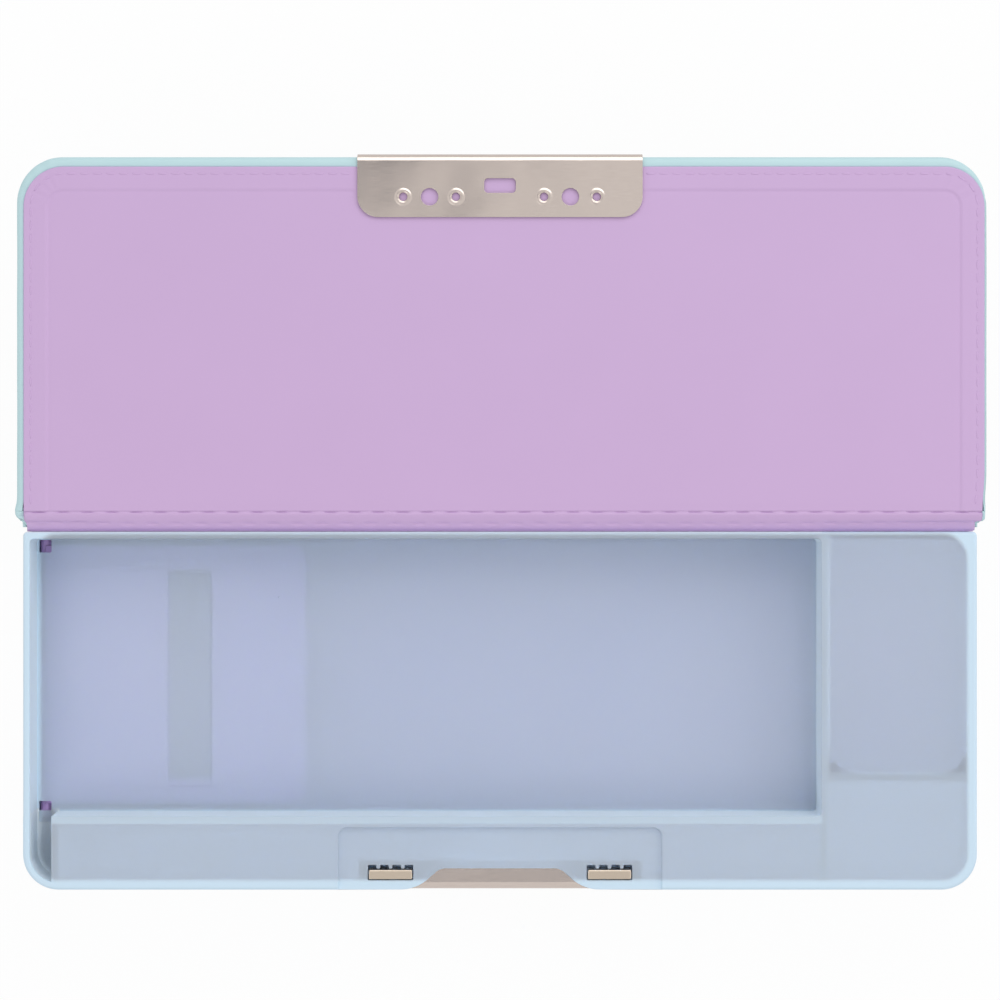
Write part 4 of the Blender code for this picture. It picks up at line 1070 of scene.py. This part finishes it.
stake_hole = [(0.95, CUT_LOW), (0.95, 0.22), (1.05, 0.4), (1.25, 0.5), (1.25, CUT_HIGH)]
stake_lip = [(1.3, 0.34), (1.24, 0.48), (1.34, 0.56), (1.55, 0.57), (1.8, 0.53), (2.05, 0.46),
             (2.25, 0.38), (2.3, 0.34)]
for body, upper in LIDS:
    loops = [[(-half, *i), (half, *i), (half, *o), (-half, *o)] for half, i, o in clasp_sections()]
    clasp = loft(body + "_folded_clasp", loops)
    slot = box(-SLOT_HALF, SLOT_HALF, SLOT_LINE - SLOT_WIDE, SLOT_LINE + SLOT_WIDE, 0.9)
    carve(clasp, prism("slot", rounded(slot, steps=6), CUT_LOW, CUT_HIGH))
    for middle in (-HOLE_X, HOLE_X):
        hole = circle(HOLE_RADIUS, middle, HOLE_LINE, 40)
        carve(clasp, prism("round_hole", hole, CUT_LOW, CUT_HIGH))
        for x in (middle - STAKE_STEP, middle + STAKE_STEP):
            carve(clasp, loft("staked_hole", stacked(stake_hole, x, HOLE_LINE)))
            sections = list(zip(*stacked(stake_lip, x, HOLE_LINE)))
            count = len(stake_lip)
            faces = [[(this + a) % len(sections) * count + (at + b) % count
                      for a, b in ((0, 0), (1, 0), (1, 1), (0, 1))]
                     for this in range(len(sections)) for at in range(count)]
            lip = place_mesh("lip", [p for section in sections for p in section], faces)
            carve(clasp, closed(lip), "UNION")
    ease_edges(settled(clasp), 0.05, sharper_than=50)
    turn, seat = (1, SEAT_A) if upper else (-1, SEAT_B)
    turned = Matrix.Diagonal((turn, turn, 1, 1))
    clasp.data.transform(Matrix.Translation((0, HINGE_Y * MM, seat * MM)) @ turned)
    clasp.data.materials.clear()
    clasp.data.materials.append(nickel)
    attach(clasp, body)
    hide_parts(body + "_clasp")


# ---- Pressed stitches ----
# A row of mock stitches is pressed into the lining's band round each lid. Each stitch is a small
# raised pad of the same vinyl.
STITCH_INSET = 1.7
STITCH_SIZES = {"Pitch": 3.1, "Length": 2.3, "Width": 0.5, "Height": 0.22}


def stitch_tree():
    """A node tree that lays small pads at even steps along a line."""
    tree = bpy.data.node_groups.new("pressed_stitches", "GeometryNodeTree")
    kinds = {"Line": "Geometry", **dict.fromkeys(STITCH_SIZES, "Float"), "Vinyl": "Material"}
    for name, kind in kinds.items():
        tree.interface.new_socket(name=name, in_out="INPUT", socket_type="NodeSocket" + kind)
    tree.interface.new_socket(name="Stitches", in_out="OUTPUT", socket_type="NodeSocketGeometry")
    given = add_node(tree, "NodeGroupInput").outputs
    line = add_node(tree, "GeometryNodeMeshToCurve", {"Mesh": given["Line"]})
    places = add_node(tree, "GeometryNodeCurveToPoints", {
        "Curve": line.outputs[0], "Length": given["Pitch"]}, mode="LENGTH")
    pad = add_node(tree, "GeometryNodeMeshUVSphere", {"Segments": 8, "Rings": 6, "Radius": 0.5})
    size = add_node(tree, "ShaderNodeCombineXYZ", {
        "X": given["Length"], "Y": given["Width"], "Z": given["Height"]})
    turned = add_node(tree, "FunctionNodeAlignRotationToVector", {
        "Vector": places.outputs["Tangent"]}, axis="X", pivot_axis="Z")
    laid = add_node(tree, "GeometryNodeInstanceOnPoints", {
        "Points": places.outputs["Points"], "Instance": pad.outputs["Mesh"],
        "Rotation": turned.outputs[0], "Scale": size.outputs[0]})
    pads = laid.outputs[0]
    for kind in ("RealizeInstances", "SetShadeSmooth", "SetMaterial"):
        step = add_node(tree, "GeometryNode" + kind, {"Geometry": pads})
        pads = step.outputs[0]
    plug(step, {"Material": given["Vinyl"]})
    add_node(tree, "NodeGroupOutput", {"Stitches": pads})
    return tree


stitches = stitch_tree()


def stitch_row(name, line):
    """A row of stitches along a line of points, as one plain mesh."""
    body = place_mesh(name, line, [], edges=[(k, k + 1) for k in range(len(line) - 1)])
    step = body.modifiers.new("stitches", "NODES")
    step.node_group = stitches
    given = {"Vinyl": lilac_vinyl, **{size: long * MM for size, long in STITCH_SIZES.items()}}
    for item in stitches.interface.items_tree:
        if item.in_out == "INPUT" and item.name in given:
            step[item.identifier] = given[item.name]
    return settled(body)


for body, upper in LIDS:
    place = in_lid(upper)
    for part, side in (("left", -1), ("right", 1)):
        row = [(x, y) for x, y in three_sides(STITCH_INSET, 1.0) if side * x > 0
               and y > HINGE_REACH + 2 and (y <= 80 or abs(x) >= CLASP_HALF + 1.5)]
        row = [place(lining_height((x, y, 0.0, STITCH_INSET))) for x, y in row]
        band = stitch_row(f"{body}_{part}_stitches", row)
        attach(band, body)
